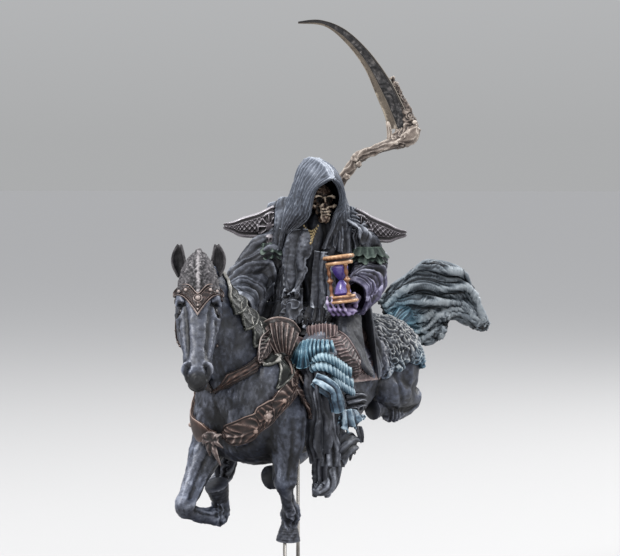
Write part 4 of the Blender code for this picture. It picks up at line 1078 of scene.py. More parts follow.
CLOAK_POINT = read_off(
    [(331, 318, 9.8), (340, 315, 11.2), (350, 313, 10.2), (360, 315, 7.2)],
    [(337, 334, 14.6), (345, 331, 15.2), (353, 331, 13.2), (361, 334, 9.8)],
    [(347, 350, 16.8), (352.4, 348.6, 16.8), (358.6, 350, 14.6), (365, 354, 11.6)],
    [(358, 364, 18.2), (361.4, 363.4, 18), (366, 365.6, 16.6), (370, 369, 14.6)],
    [(368, 375.4, 18.4), (369.4, 375, 18.2), (371, 375.8, 17.6), (372, 377.2, 17)],
)
EMBOSSED_BAND = read_off(
    [(316, 338, 18.2), (324, 335.6, 19.4), (332, 333.6, 18.4), (338, 332.6, 15.8)],
    [(328, 346, 22.2), (335, 342, 22.4), (341, 339.6, 20.2), (346, 338.6, 16.8)],
    [(339, 359, 22.8), (345, 355, 22.6), (350.4, 352, 20.4), (354, 350.6, 18)],
    [(349, 372, 20.2), (354, 368, 20), (358.4, 366, 18.6), (361, 365, 17.2)],
    [(355, 380, 19), (358, 377.4, 19.2), (361, 375.6, 18.6), (363, 375, 17.4)],
)
SECOND_SHELL = read_off(
    [(307, 327, 16.8), (316, 325, 18.4), (326, 324, 18.4), (337, 326, 16.8)],
    [(306.6, 332, 19.8), (316, 334, 21.4), (326, 334.4, 21.4), (337.4, 331.6, 19.6)],
    [(309, 336, 21), (317, 340, 22.8), (326, 340.4, 22.8), (335.6, 336, 20.8)],
)
POMMEL = read_off(
    [
        (260, 335, 24), (264, 325.6, 25.4), (272, 320.6, 26.4), (282, 319.8, 26.4), (292, 323.6, 25.4),
        (298, 333, 24),
    ],
    [
        (262, 341, 27), (267, 332, 28.4), (274, 328, 29.2), (282, 327.4, 29.2), (290, 331, 28.4),
        (296.6, 338, 26.6),
    ],
    [(267, 349, 29), (271, 343, 30), (276, 340, 30.6), (282, 340, 30.6), (288, 342, 30), (293, 346, 28.8)],
    [
        (274, 356, 30.4), (277, 354, 30.8), (280, 353, 31), (283, 353, 31), (286, 354, 30.6),
        (288.6, 356, 30.2),
    ],
)
TAIL_SHEET = read_off(
    [
        (380, 302, -27), (392, 287, -30), (406, 277, -33), (420, 265, -35.5), (432, 259.8, -37.5),
        (447, 263.6, -39), (462, 271.4, -40.6), (472, 287, -42), (478, 304, -43), (486, 324, -44),
    ],
    [
        (382, 306, -27), (396, 294, -30.6), (412, 284, -33.6), (426, 276, -36), (440, 276, -38),
        (452, 281, -39.4), (463, 289, -40.8), (471, 300, -42), (478, 312, -43), (485, 325, -44),
    ],
    [
        (384, 311, -27), (400, 302, -31), (418, 294, -34.4), (432, 291, -36.6), (444, 293, -38.4),
        (455, 299, -39.8), (464, 307, -41), (472, 315, -42), (479, 321, -43), (484.6, 326, -44),
    ],
    [
        (386, 315, -27), (402, 313, -31), (420, 307, -34.6), (434, 304, -36.8), (446, 306, -38.6),
        (456, 310, -39.8), (465, 316, -41), (473, 321, -42), (479, 325, -43), (484, 327.4, -44),
    ],
    [
        (388, 319, -27), (403, 325, -31), (418, 321, -34.6), (434, 316, -37), (446, 316, -38.6),
        (456, 318, -39.8), (464, 322, -41), (472, 326, -42), (478, 328, -43), (483, 328.6, -44),
    ],
)
TAIL_UNDER = read_off(
    [
        (384, 306, -27.4), (400, 311, -31.4), (414, 312, -34.4), (428, 312, -36.6), (438, 312, -38),
        (446, 314, -39),
    ],
    [
        (387, 312, -27), (402, 320, -31), (415, 323, -34), (428, 324, -36.4), (438, 322, -37.8),
        (447, 318, -38.8),
    ],
    [
        (390, 317, -27), (403, 327, -31), (414, 333, -33.8), (427, 335, -36), (438, 331, -37.6),
        (446, 323, -38.6),
    ],
    [
        (392, 320, -27), (403, 331, -31), (412, 340.6, -33.6), (424, 342.8, -35.8), (437, 341, -37.4),
        (444, 329, -38.4),
    ],
)


def hung(rows, flow, height=0.5, size=(100, 80), thickness=0.7, tear=0.0, seed=0, rim=0.0):
    """Cloth hung through rows of (right, height, front); flow(u, v) counts its folds, rim raises its edge."""

    def relief(u, v, p):
        near = np.minimum(np.minimum(u, 1 - u), np.minimum(v, 1 - v))
        return cloth(flow(u, v), height, p, seed) + rim * (1 - step(0.01, 0.045, near))

    return drape(rows, faced, size[0], size[1], thickness, relief, tear=tear)


def horse_head():
    """Skull, muzzle, cheeks and brows, carved with eyes, nostrils, lips and the cords of the face."""
    stations = [(on_head(0.0, down, FACE_LINE - deep), width, deep) for down, width, deep in HEAD]
    bridge = [(on_head(0.0, d, FACE_LINE - 0.9), w, h) for d, w, h in BRIDGE]
    forms = [
        tube(stations, side=HEAD_LEFT, rings=60, sides=40, flat=1.9),
        ball(on_head(0, 28.4, 0.2), (2.6, 2.8, 2.6), HEAD_AXES),
        ball(on_head(0, 29.4, -3.4), (2.3, 2.2, 1.8), HEAD_AXES),
        tube(bridge, side=HEAD_LEFT, flat=2.2),
    ]
    for sign in (-1, 1):
        ridge = (
            (4.6, 12.6, 0.2, 0.9), (4.2, 16, -0.3, 0.8), (3.6, 20, -0.1, 0.65), (3.0, 24, 0.3, 0.5),
            (2.6, 28, 0.6, 0.2),
        )
        filling = ((3.0, 12, 1.6, 1.3), (2.9, 17, 1.5, 1.3), (2.6, 21, 1.5, 1.1), (2.2, 26, 1.4, 0.9))
        forms += [
            ball(on_head(2.9 * sign, 12.5, -6), (2.4, 5.4, 4.3), HEAD_AXES),
            ball(on_head(3.8 * sign, 9.4, 1.6), (1.5, 2.2, 1.6), HEAD_AXES),
            ball(on_head(4.1 * sign, 15.4, 0.2), (1.1, 2.0, 1.3), HEAD_AXES),
            ball(on_head(2.0 * sign, 28.6, 1.3), (1.45, 2.2, 1.7), HEAD_AXES),
            tube([(on_head(s * sign, d, f), r, r) for s, d, f, r in ridge]),
            tube([(on_head(s * sign, d, f), r, r) for s, d, f, r in filling]),
        ]
    head = fused(forms, 0.19, smooth=5)
    strokes = [
        ([on_head(0, d, FACE_LINE + 0.2) for d in (11, 16, 21)], 1.3, -0.2),
        ([on_head(-2.2, 30.4, 0.6), on_head(0, 30.8, 1.2), on_head(2.2, 30.4, 0.6)], 0.5, -0.5),
    ]
    for sign in (-1, 1):
        strokes += [(soft_line(sign, *path), width, height) for path, width, height in FACE_STROKES]
    head = carved(head, strokes)
    p = head.points
    head.marks["cool"] = np.clip(0.15 + 0.5 * noise(p, 5.0, 4), 0, 1)
    return head.lift(0.06 * rough(p, 0.9, 3) + 0.12 * noise(p, 1.3, 8))


def soft_line(sign, *places):
    """A line on one side of the head, through (left, down, front) places."""
    return [on_head(left * sign, down, front) for left, down, front in places]


BRIDGE = [(5, 3.0, 1.2), (13, 2.8, 1.2), (20, 2.3, 1.15), (25, 2.0, 1.0), (28.5, 1.5, 0.6)]
FACE_STROKES = [
    ([(4.1, 11.2, 1.6), (4.5, 12.4, 1.3), (4.6, 13.6, 0.9)], 0.85, -1.2),
    ([(3.3, 11.0, 2.8), (4.2, 10.2, 2.0), (5.0, 10.9, 0.8), (5.1, 12.8, 0.2)], 0.5, 0.7),
    ([(3.5, 13.8, 2.2), (4.3, 14.8, 1.4), (5.0, 14.4, 0.4)], 0.45, 0.45),
    ([(3.4, 15.2, 2.2), (4.2, 16.2, 1.2), (4.8, 15.8, 0.2)], 0.5, -0.3),
    ([(3.4, 5.8, 3.2), (4.4, 6.8, 1.8), (4.9, 8.2, 0.6)], 1.0, -0.4),
    ([(2.9, 13.4, 3.1), (2.9, 16.5, 2.9), (2.6, 20.5, 2.7), (2.2, 24.6, 2.7)], 1.3, -0.42),
    ([(4.7, 17.4, -1.2), (4.1, 20, -1.2), (3.4, 23, -1.0)], 1.3, -0.4),
    ([(5.2, 14.6, -3.6), (5.0, 17, -5.6), (4.2, 18.6, -7.6)], 0.9, -0.4),
    ([(2.2, 28.4, 3.0), (2.8, 29.6, 2.4), (2.8, 30.8, 1.4)], 0.8, -1.5),
    ([(1.5, 27.8, 3.1), (2.4, 27.2, 3.0), (3.3, 28.2, 2.0), (3.5, 30.0, 1.0)], 0.5, 0.45),
    ([(1.4, 28.6, 3.2), (1.6, 30.0, 2.8), (2.1, 31.2, 1.8)], 0.45, 0.3),
    ([(3.5, 25.4, -1.6), (3.5, 28.4, -1.9), (2.4, 31, -1.7), (0, 31.8, -1.3)], 0.45, -0.6),
    ([(3.0, 19, 0.9), (3.6, 22, -0.2), (3.5, 25.4, -1.2)], 0.35, 0.2),
    ([(2.6, 21, 2.0), (3.3, 23.6, 1.0), (3.4, 26.4, 0.2)], 0.35, 0.2),
]


def head_tone(head):
    """The head's tone, with painted shade in the nostrils, round the eyes and under the lips."""
    tone = brush_and_shade_tone(head, light=0.08, broad=0.6, fine=0.12, base=0.56, wear=0.06, reach=1.8)
    for sign in (-1, 1):
        nostril = soft_line(sign, (2.3, 28.8, 2.8), (2.7, 29.6, 2.3), (2.8, 30.6, 1.4))
        socket = soft_line(sign, (3.7, 11.2, 2.0), (4.3, 12.2, 1.4), (4.6, 13.4, 0.9))
        # painted shade inside the nostrils and round the eye sockets
        tone = shaded(head, tone, nostril, 0.85, 0.95)
        tone = shaded(head, tone, socket, 1.15, 0.8)
    # painted shadow on the underside of the muzzle, below the nostrils
    down = (head.points - POLL) @ HEAD_AXIS
    return tone * (1 - 0.8 * step(29.6, 31.2, down))


def build_head_details(head_skin):
    """Eyes, ears, forelock, brow plate and bridle."""
    dark = paint(
        "eye_gloss", {None: [(2, 2, 2), (8, 7, 8), (30, 27, 30)]}, roughness=0.34, bump=0, grain=0.02
    )
    hair = paint(
        "forelock_paint",
        {None: [(2, 2, 3), (14, 13, 15), (46, 44, 47), (88, 85, 87), (148, 144, 145)]},
        roughness=0.65,
    )
    eyes = [ball(on_head(3.9 * sign, 12.4, 0.6), (0.75, 1.0, 0.9), HEAD_AXES) for sign in (-1, 1)]
    piece("horse_eyes", joined(eyes), dark, "horse_paint", base=0.3, keep=1)
    ears = joined([horse_ear(sign) for sign in (-1, 1)])
    gap = 1 - np.abs(2 * ears.marks["u"] - 1)
    inside = ears.normals() @ HEAD_FACE > 0
    shade = step(0.16, 0.4, gap) * (1 - step(0.86, 0.97, ears.marks["v"])) * np.where(inside, 0.62, 0.3)
    tone = np.clip(0.66 - shade + 0.16 * noise(ears.points, 0.5) + 0.1 * rough(ears.points, 0.9), 0, 1)
    piece("horse_ears", ears, hair, "horse_paint", tone=tone, keep=0.4)
    piece("forelock", forelock(), hair, "horse_paint", fine=0.09, broad=0.5, base=0.46, keep=0.5)
    build_brow_plate()
    build_bridle(head_skin)


def horse_ear(sign):
    """A leaf-shaped ear, cupped towards the front and leaning out."""
    root, tip = on_head(3.9 * sign, 1.9, -0.4), on_head((4.6 if sign < 0 else 4.2) * sign, -4.9, 3.2)
    out = HEAD_LEFT * sign

    def surface(u, v):
        half = 1.65 * np.sin(math.pi * np.clip(0.16 + 0.8 * v, 0, 1)) ** 0.8 * (1 - 0.25 * v) + 0.1
        bend = (2 * u - 1) * 1.75
        axis = root + np.multiply.outer(v, tip - root) + np.multiply.outer(0.6 * np.sin(math.pi * v), out)
        across = np.multiply.outer(np.sin(bend) * half, out)
        back = np.multiply.outer((np.cos(bend) - 0.4) * half * 1.3, -HEAD_FACE)
        return axis + across + back

    return slab(surface, 60, 50, 0.5, lambda u, v, p: 0.05 * ridges(40 * u + 4 * v), edge=0.3)


def forelock():
    """The peaked tuft between the ears that falls to the brow plate."""
    rows = [
        (on_head(0.0, -3.4, 2.5), 0.5, 0.6),
        (on_head(0.0, -1.6, 3.0), 1.9, 1.7),
        (on_head(0.0, 1.0, 3.4), 3.4, 2.2),
        (on_head(0.0, 4.0, 3.4), 4.4, 2.2),
        (on_head(0.0, 7.0, 3.0), 4.9, 1.9),
        (on_head(0.0, 9.4, 2.4), 4.9, 1.2),
    ]

    def curls(s, a, p):
        left = (p - POLL) @ HEAD_LEFT
        pebble = (
            0.16 * noise(p, 0.5, 4)
            + 0.12 * noise(p, 0.33, 5)
            + 0.12 * noise(p, np.array([1.0, 1.6, 1.6]), 6)
        )
        return pebble + 0.5 * np.exp(-((left / 0.6) ** 2))

    return tube(rows, side=HEAD_LEFT, rings=100, sides=170, relief=curls)


def bronze():
    """Copper-brown harness metal: dark in the chasing, duller on the raised work, pale at the edges."""
    return paint(
        "harness_paint",
        {
            None: [(3, 2, 2), (16, 11, 11), (40, 32, 31), (78, 66, 64), (152, 140, 135)],
            "red": [(4, 1, 1), (18, 9, 7), (44, 28, 23), (80, 59, 51), (148, 126, 116)],
        },
        roughness=0.45,
        metallic=0.15,
        specular=0.45,
    )


def build_brow_plate():
    """The pointed plate over the forehead, with its ring and studs."""

    def surface(u, v):
        left = 12.6 * (u - 0.5)
        side = np.abs(left)
        top = 7.3 + 2.3 * np.exp(-((left / 1.5) ** 2)) - 0.5 * np.sin(np.clip(side / 6.3, 0, 1) * math.pi)
        low = (
            9.3
            + 6.6 * np.clip(1 - side / 4.6, 0, 1) ** 1.25
            + 0.5 * np.exp(-(((side - 4.4) / 0.9) ** 2))
            - 0.02 * left**2
        )
        down = top + (low - top) * v
        front = FACE_LINE + 0.95 - 0.05 * left**2 - 0.0024 * side**4 * 0.5
        return on_head(left * (1 - 0.003 * left**2), down, front)

    def relief(u, v, p):
        rim = np.minimum(np.minimum(v, 1 - v), np.minimum(u, 1 - u) * 6)
        left = 12.6 * (u - 0.5)
        double = 0.3 * (1 - step(0.07, 0.12, rim)) - 0.12 * np.exp(-(((rim - 0.16) / 0.03) ** 2))
        inner = 0.16 * np.exp(-(((rim - 0.22) / 0.03) ** 2))
        return double + inner + 0.07 * ridges(6 * left + 4 * np.sin(7 * v)) * step(0.26, 0.32, rim)

    plate = slab(surface, 190, 60, 0.6, relief, edge=0.3, outside=lambda p: HEAD_FACE)
    places = [(0, 11.2, 0.62), (0, 13.2, 0.3), (0, 14.3, 0.24)]
    places += [(left * sign, 8.7, size) for left, size in ((2.9, 0.42), (4.5, 0.36)) for sign in (-1, 1)]
    studs = []
    for left, down, size in places:
        studs.append(
            ball(on_head(left, down, FACE_LINE + 1.35 - 0.05 * left**2), (size, size, size), sides=16)
        )
    ring = tube_ring(on_head(0.0, 11.2, FACE_LINE + 1.3), HEAD_LEFT, HEAD_AXIS, 0.95, 0.14)
    plate.marks["red"] = 0.1 + 0.3 * plate.marks["rim"]
    piece("brow_plate", joined([plate, ring]), bronze(), "horse_paint", base=0.4, light=0.06, keep=0.33)
    piece(
        "brow_studs", joined(studs), bpy.data.materials["harness_paint"], "horse_paint", base=0.9,
        light=0.1, keep=1,
    )


def tube_ring(centre, across, along, radius, thick, rings=28, sides=8):
    """A ring of round section."""
    t = np.arange(rings) * TURN / rings
    a = np.arange(sides) * TURN / sides
    out = np.outer(np.cos(t), across) + np.outer(np.sin(t), along)
    normal = np.cross(across, along)
    points = (
        centre
        + out[:, None] * (radius + thick * np.cos(a))[None, :, None]
        + normal * (thick * np.sin(a))[None, :, None]
    )
    faces = grid_faces(rings + 1, sides, True) % (rings * sides)
    return Form(points.reshape(-1, 3), faces).facing_out()


def evened(grid, rounds=40):
    """A grid of places with its small unevenness averaged away."""
    for _ in range(rounds):
        wide = np.pad(grid, ((1, 1), (1, 1), (0, 0)), mode="edge")
        grid = (wide[:-2, 1:-1] + wide[2:, 1:-1] + wide[1:-1, :-2] + wide[1:-1, 2:] + 2 * grid) / 6
    return grid


def strap(skin, route, widths, lift, thickness, columns=80, rows=14, relief=None):
    """A band laid on a skin: (place, way its width runs) along a route, with its half widths."""
    table = [[*place, *way, width] for (place, way), width in zip(route, widths)]

    def surface(u, v):
        row = spline(table, u)
        place = row[..., :3] + unit(row[..., 3:6]) * ((2 * v - 1) * row[..., 6])[..., None]
        return evened(skin.nearest(place, lift + 0.15))

    return slab(surface, columns, rows, thickness, relief, edge=0.4)


def build_bridle(head_skin):
    """The cheek straps and their studs."""
    straps, beads = [], []
    for sign in (-1, 1):
        route = soft_line(sign, (5.4, 8.6, 1.4), (5.9, 7.6, -1.6), (5.2, 6.4, -6.2))
        straps.append(strap(head_skin, [(p, HEAD_AXIS) for p in route], [0.6, 0.55, 0.5], 0.12, 0.5))
        route = soft_line(sign, (5.4, 2.5, -3), (6.2, 8, -5.4), (5.6, 14, -7), (4.6, 18, -7.4))
        straps.append(strap(head_skin, [(p, HEAD_FACE) for p in route], [0.55, 0.5, 0.45, 0.3], 0.12, 0.45))
        for k in range(10):
            place = spline(route, np.array([k / 10]))
            beads.append(ball(head_skin.nearest(place, 0.3)[0], (0.3, 0.3, 0.3), sides=10))
    form = joined(straps + beads)
    form.marks["red"] = np.full(len(form.points), 0.2)
    piece("bridle", form, bpy.data.materials["harness_paint"], "horse_paint", base=0.3)


def build_neck_harness(skin):
    """Crest plates, neck collar, breast collar with its clasp, and the girth strap."""
    iron = paint(
        "crest_plate_paint",
        {None: [(2, 3, 2), (11, 13, 11), (30, 33, 30), (72, 73, 68), (158, 155, 149)]},
        roughness=0.42,
        metallic=0.2,
        specular=0.5,
    )
    lames = [crest_lame(skin, k / 5) for k in range(5)]
    piece("crest_plates", joined(lames), iron, "horse_paint", fine=0.05, base=0.3, keep=0.28)
    build_collars(skin)


def crest_lame(skin, share):
    """One leaf-shaped plate over the crest of the neck, drawn down to a point on each side."""
    centre = vec(-2.8, -33, 81) + (vec(0, -18.5, 65) - vec(-2.8, -33, 81)) * share
    crest, slope = vec(0, 0.75, 0.66), vec(0, 0.62, -0.78)
    reach = math.radians(96 + 34 * share)
    length = 7.4 + 1.2 * share

    def surface(u, v):
        side = np.abs(2 * u - 1)
        angle = (2 * u - 1) * reach
        out = np.multiply.outer(np.cos(angle), crest) + np.multiply.outer(np.sin(angle), X_AXIS)
        along = length * (v - 0.5) * (1.02 - side**3.5) + 1.5 * side**2
        return skin.outward(centre + np.multiply.outer(along, slope), out, 0.4 + 0.9 * v * (1 - side**3))

    def relief(u, v, p):
        side = np.abs(2 * u - 1)
        gap = np.minimum(v, 1 - v) * length * (1.02 - side**3.5)
        rim = 0.45 * (1 - step(0.42, 0.62, gap)) - 0.12 * np.exp(-(((gap - 0.8) / 0.16) ** 2))
        ribs = 0.16 * ridges(70 * u) * step(0.8, 1.2, gap)
        return rim + ribs + 0.05 * rough(p, 0.8)

    return slab(surface, 130, 30, 0.55, relief, edge=0.25, outside=lambda p: p - centre)


def chased(u, v, width, length, seed=0):
    """Raised rims round feathered leaf work for a band: v runs across it."""
    edge = np.minimum(v, 1 - v) * 2 * width
    rim = 0.36 * (1 - step(0.3, 0.46, edge)) - 0.14 * np.exp(-(((edge - 0.62) / 0.12) ** 2))
    x, y = u * length, (v - 0.5) * 2 * width
    feathers = 0.16 * ridges(TURN * (x / 1.1 + 0.45 * np.abs(y) + 0.2 * np.sin(2.3 * x)))
    spine = 0.22 * np.exp(-(((y - 0.5 * np.sin(0.8 * x + seed)) / 0.3) ** 2))
    curls = 0.14 * np.sin(1.7 * x + 1.5 * y) * np.cos(1.9 * y)
    return rim + (feathers + spine + curls) * step(0.66, 0.95, edge)


def build_collars(skin):
    """Breast and neck collars, the straps that join them, and the clasp on the breast."""
    metal = bpy.data.materials["harness_paint"]
    breast, neck, girth = [], [], []
    for sign in (-1, 1):
        way = vec(-0.5 * sign, 0, 1)
        route = [
            ((0.4 * sign, -34.6, 49.6), vec(0, 0, 1)),
            ((6 * sign, -31.6, 52.3), vec(-0.4 * sign, 0, 1)),
            ((10 * sign, -27, 56.6), way),
            ((11 * sign, -20, 62.3), way),
            ((9.8 * sign, -16, 66.2), vec(-0.3 * sign, 0.4, 1)),
        ]
        breast.append(
            strap(
                skin,
                route,
                [1.0, 2.7, 3.6, 2.9, 1.8],
                0.55,
                0.7,
                220,
                40,
                lambda u, v, p: chased(u, v, 3.4, 26),
            )
        )
        for share, size in ((0.3, 0.6), (0.46, 0.9), (0.6, 0.6)):
            centre = skin.nearest(spline([p for p, _ in route], np.array([share]))[0][None], 1.0)[0]
            breast.append(ball(centre, (size, size, size), sides=14))
            for k in range(6 if size > 0.7 else 0):
                turn = TURN * k / 6
                petal = (
                    centre + vec(0.3 * sign, 1, 0) * 1.1 * math.cos(turn) * 0.8 + UP * 1.1 * math.sin(turn)
                )
                breast.append(ball(petal, (0.42, 0.42, 0.42), sides=10))
        route = [
            ((0, -38.6, 61.6), vec(0, -0.3, 1)),
            ((4 * sign, -35.4, 63.6), vec(0, -0.3, 1)),
            ((7.5 * sign, -29, 66.8), vec(0, -0.6, 1)),
            ((7.8 * sign, -24, 70.6), vec(0, -0.8, 1)),
        ]
        neck.append(
            strap(skin, route, [0.8, 1.5, 2.0, 2.2], 0.45, 0.6, 160, 30, lambda u, v, p: neck_relief(u, v))
        )
        route = [
            ((7.9 * sign, -28.6, 68), vec(0, -0.6, 1)),
            ((7.6 * sign, -25, 71.6), vec(0, -0.8, 1)),
            ((6.4 * sign, -21.6, 75), vec(0, -0.8, 1)),
        ]
        girth.append(strap(skin, route, [0.5, 3.2, 0.3], 0.9, 0.6, 90, 30, lambda u, v, p: leaf_relief(u, v)))
        route = [
            ((9.4 * sign, -16, 66), vec(0, 1, 0)), ((11.8 * sign, -14.6, 60), vec(0, 1, 0)),
            ((12.4 * sign, -13.4, 53), vec(0, 1, 0)),
        ]
        girth.append(
            strap(
                skin,
                route,
                [1.5, 1.1, 0.8],
                0.4,
                0.6,
                70,
                16,
                lambda u, v, p: 0.25 * (1 - step(0.12, 0.2, np.minimum(v, 1 - v))) + 0.12 * ridges(50 * u),
            )
        )
    for forms, name, red in (
        (breast, "breast_collar", 0.7), (neck, "neck_collar", 0.9), (girth, "girth_straps", 0.05)
    ):
        form = joined(forms)
        form.marks["red"] = np.clip(red + 0.4 * noise(form.points, 3.0, 2), 0, 1)
        piece(name, form, metal, "horse_paint", fine=0.06, base=0.42)
    clasp = fused(clasp_forms(), 0.16, smooth=1)
    clasp.marks["red"] = np.full(len(clasp.points), 0.05)
    piece("breast_clasp", clasp, metal, "horse_paint", fine=0.05, base=0.42)


def neck_relief(u, v):
    """A thick rim with fine rows of beading between."""
    edge = np.minimum(v, 1 - v) * 4
    rows = 0.2 * ridges((v - 0.5) * 24) * step(0.5, 0.8, edge)
    return 0.28 * (1 - step(0.34, 0.5, edge)) + rows * (0.6 + 0.4 * np.sin(60 * u))


def clasp_forms():
    """The knotted clasp on the breast: crossed loops, leaf ends and a curled hanging tassel."""
    centre = vec(0, -35.8, 49.4)
    forms = [ball(centre, (1.5, 1.0, 1.3))]
    for k in range(5):
        turn = math.pi * k / 5 + 0.3
        way, other = vec(math.cos(turn), 0, math.sin(turn)), vec(-math.sin(turn), 0, math.cos(turn))
        forms.append(tube_ring(centre + way * 0.9 - vec(0, 0.5, 0), way, other, 1.1 + 0.15 * (k % 2), 0.36))
    for side, rise, length in (
        (-1, 1.5, 3.2), (1, 1.7, 3.0), (-1, -1.1, 3.4), (1, -1.3, 3.6), (-0.3, -2.6, 4.2), (0.5, -3.2, 5.4)
    ):
        tip = centre + vec(side * length * 0.8, 0.5, rise * length / 3)
        bend = (centre + tip) / 2 + vec(0.3 * side, -0.9, 0.4)
        forms.append(
            tube(
                [(centre, 0.7, 0.5), (bend, 0.8, 0.45), (tip, 0.2, 0.15)],
                relief=lambda s, a, p: 0.1 * ridges(4 * a),
            )
        )
    return forms


# Saddle and croup cover


def build_saddle(skin):
    """The ribbed pommel shield, the seat, the chased flaps and their bands."""
    metal = bpy.data.materials["harness_paint"]

    def ribs(u, v, p):
        groove = 0.36 * ridges(TURN * 8.5 * u) * step(0.14, 0.3, v)
        rim = 0.42 * (1 - step(0.07, 0.13, v)) - 0.2 * np.exp(-(((v - 0.17) / 0.03) ** 2))
        return groove + rim + 0.08 * rough(p, 0.7, 2)

    shell = drape(POMMEL, faced, 110, 70, 1.1, ribs)
    curl = tube_ring(faced(-10.9, 70.6, 26.6), PLANE_RIGHT, UP, 1.0, 0.34)
    shield = joined([shell, curl, strap_end(skin)])
    shield.marks["red"] = np.clip(0.35 + 0.4 * noise(shield.points, 2.5, 3), 0, 1)
    piece("saddle_pommel", shield, metal, "horse_paint", base=0.4)
    leather = paint(
        "saddle_leather",
        {None: [(7, 5, 6), (26, 19, 20), (56, 44, 45), (98, 82, 82), (158, 142, 138)]},
        roughness=0.5,
    )
    seat = fused(
        [
            ball((0, -10.6, 70.2), (8.4, 3.2, 5.8)), ball((0, 16, 71.6), (9.4, 2.8, 5.2)),
            ball((0, 2, 67), (9, 15, 6.2)),
        ],
        0.35,
    )
    piece("saddle_seat", seat.lift(0.05 * rough(seat.points, 0.8)), leather, "horse_paint")
    flaps = []
    for sign in (-1, 1):

        def surface(u, v, sign=sign):
            angle = np.radians(18 + 66 * v) * sign
            out = np.stack([np.sin(angle), np.zeros_like(angle), np.cos(angle)], -1)
            start = np.stack([np.zeros_like(u), -14 + 31 * u, np.full_like(u, 60.0)], -1)
            return skin.outward(start, out, 0.75)

        flaps.append(slab(surface, 90, 60, 0.7, lambda u, v, p: chased(v, u, 15, 30, 2) * 0.7, edge=0.5))
    shells = drape(
        SECOND_SHELL,
        faced,
        60,
        24,
        0.8,
        lambda u, v, p: 0.3 * ridges(TURN * 9 * u) + 0.3 * step(0.8, 0.9, v),
    )
    band = drape(EMBOSSED_BAND, faced, 50, 110, 0.9, lambda u, v, p: chased(v, u, 3, 18, 4))
    flaps += [shells, band]
    flaps += [mirrored(form) for form in (shells, band)]
    piece("saddle_flaps", joined(flaps), leather, "horse_paint", fine=0.06, base=0.44)
    build_croup_cover(skin)


def mirrored(form):
    """The same form on the other side of the horse."""
    f = form.faces
    other = Form(form.points * vec(-1, 1, 1), np.where(f[:, 3:] < 0, f[:, [2, 1, 0, 3]], f[:, [3, 2, 1, 0]]))
    other.marks = {key: values.copy() for key, values in form.marks.items()}
    return other


def strap_end(skin):
    """The strap from the pommel to the breast collar, its three-cornered plate and its hanging point."""
    forms = []
    for sign in (-1, 1):
        across = vec(0.2 * sign, 1, 0)
        route = [
            ((8.6 * sign, -18, 68.6), across), ((10.6 * sign, -20.2, 65), across),
            ((11.6 * sign, -20.4, 61.6), across),
        ]
        forms.append(
            strap(skin, route, [1.2, 1.3, 2.6], 0.75, 0.7, 60, 20, lambda u, v, p: chased(u, v, 2, 8, 3))
        )
        route = [
            ((11.8 * sign, -19.6, 61), across), ((12.8 * sign, -17.4, 57.6), across),
            ((13.2 * sign, -16.2, 53.6), across),
        ]
        forms.append(
            strap(
                skin,
                route,
                [1.3, 1.2, 0.15],
                0.7,
                0.7,
                60,
                16,
                lambda u, v, p: 0.22 * (1 - step(0.1, 0.2, np.minimum(v, 1 - v))) + 0.1 * ridges(46 * u),
            )
        )
    return joined(forms)


def build_croup_cover(skin):
    """The shaggy embossed cover over the haunches, bone-coloured above and blue towards its hem."""

    def surface(u, v):
        back = 12.5 + 31.5 * v
        reach = np.radians(88 - 8 * v + 5 * np.sin(9 * v) + 2.5 * np.sin(37 * v))
        angle = (2 * u - 1) * reach
        out = np.stack([np.sin(angle), 0.35 * v * v, np.cos(angle)], -1)
        start = np.stack([np.zeros_like(u), np.minimum(back, 38), np.full_like(u, 62.0)], -1)
        return skin.outward(start, out, 0.9)

    def relief(u, v, p):
        warp = p + 1.3 * np.stack([noise(p, 2.4, k) for k in (1, 2, 3)], -1)
        worms = 1 - np.abs(noise(warp, 1.15, 6)) ** 0.7 * 2
        fine = 1 - np.abs(noise(warp, 0.6, 8)) * 2
        folds = 0.9 * ridges(0.6 * p[..., 1] + 1.6 * noise(p, 5.0, 4))
        front = 1 - step(0.16, 0.36, v)
        return (0.52 * worms + 0.16 * fine) * (1 - 0.6 * front) + folds * front * 0.7 + 0.2 * rough(p, 3.0)

    cover = slab(surface, 300, 190, 1.2, relief, edge=0.8)
    p = cover.points
    low = 1 - step(57, 71, p[:, 2] - 0.1 * (p[:, 1] - 28) + 4 * noise(p, 5.0, 2))
    cover.marks["blue"] = np.clip(low * 1.1, 0, 1)
    cover.marks["violet"] = np.clip((1 - step(14, 25, p[:, 1])) * 0.8, 0, 1)
    cloth_paint = paint(
        "croup_cover_paint",
        {
            None: [(3, 4, 6), (16, 18, 24), (50, 54, 62), (101, 105, 111), (184, 184, 181)],
            "blue": [(1, 5, 10), (9, 23, 34), (32, 62, 82), (86, 118, 138), (168, 188, 198)],
            "violet": [(5, 4, 9), (25, 24, 34), (56, 55, 69), (98, 97, 111), (162, 159, 170)],
        },
        roughness=0.62,
    )
    piece(
        "croup_cover", cover, cloth_paint, "horse_paint", fine=0.12, broad=0.4, base=0.44, light=0.1,
        keep=0.29,
    )


# The tail


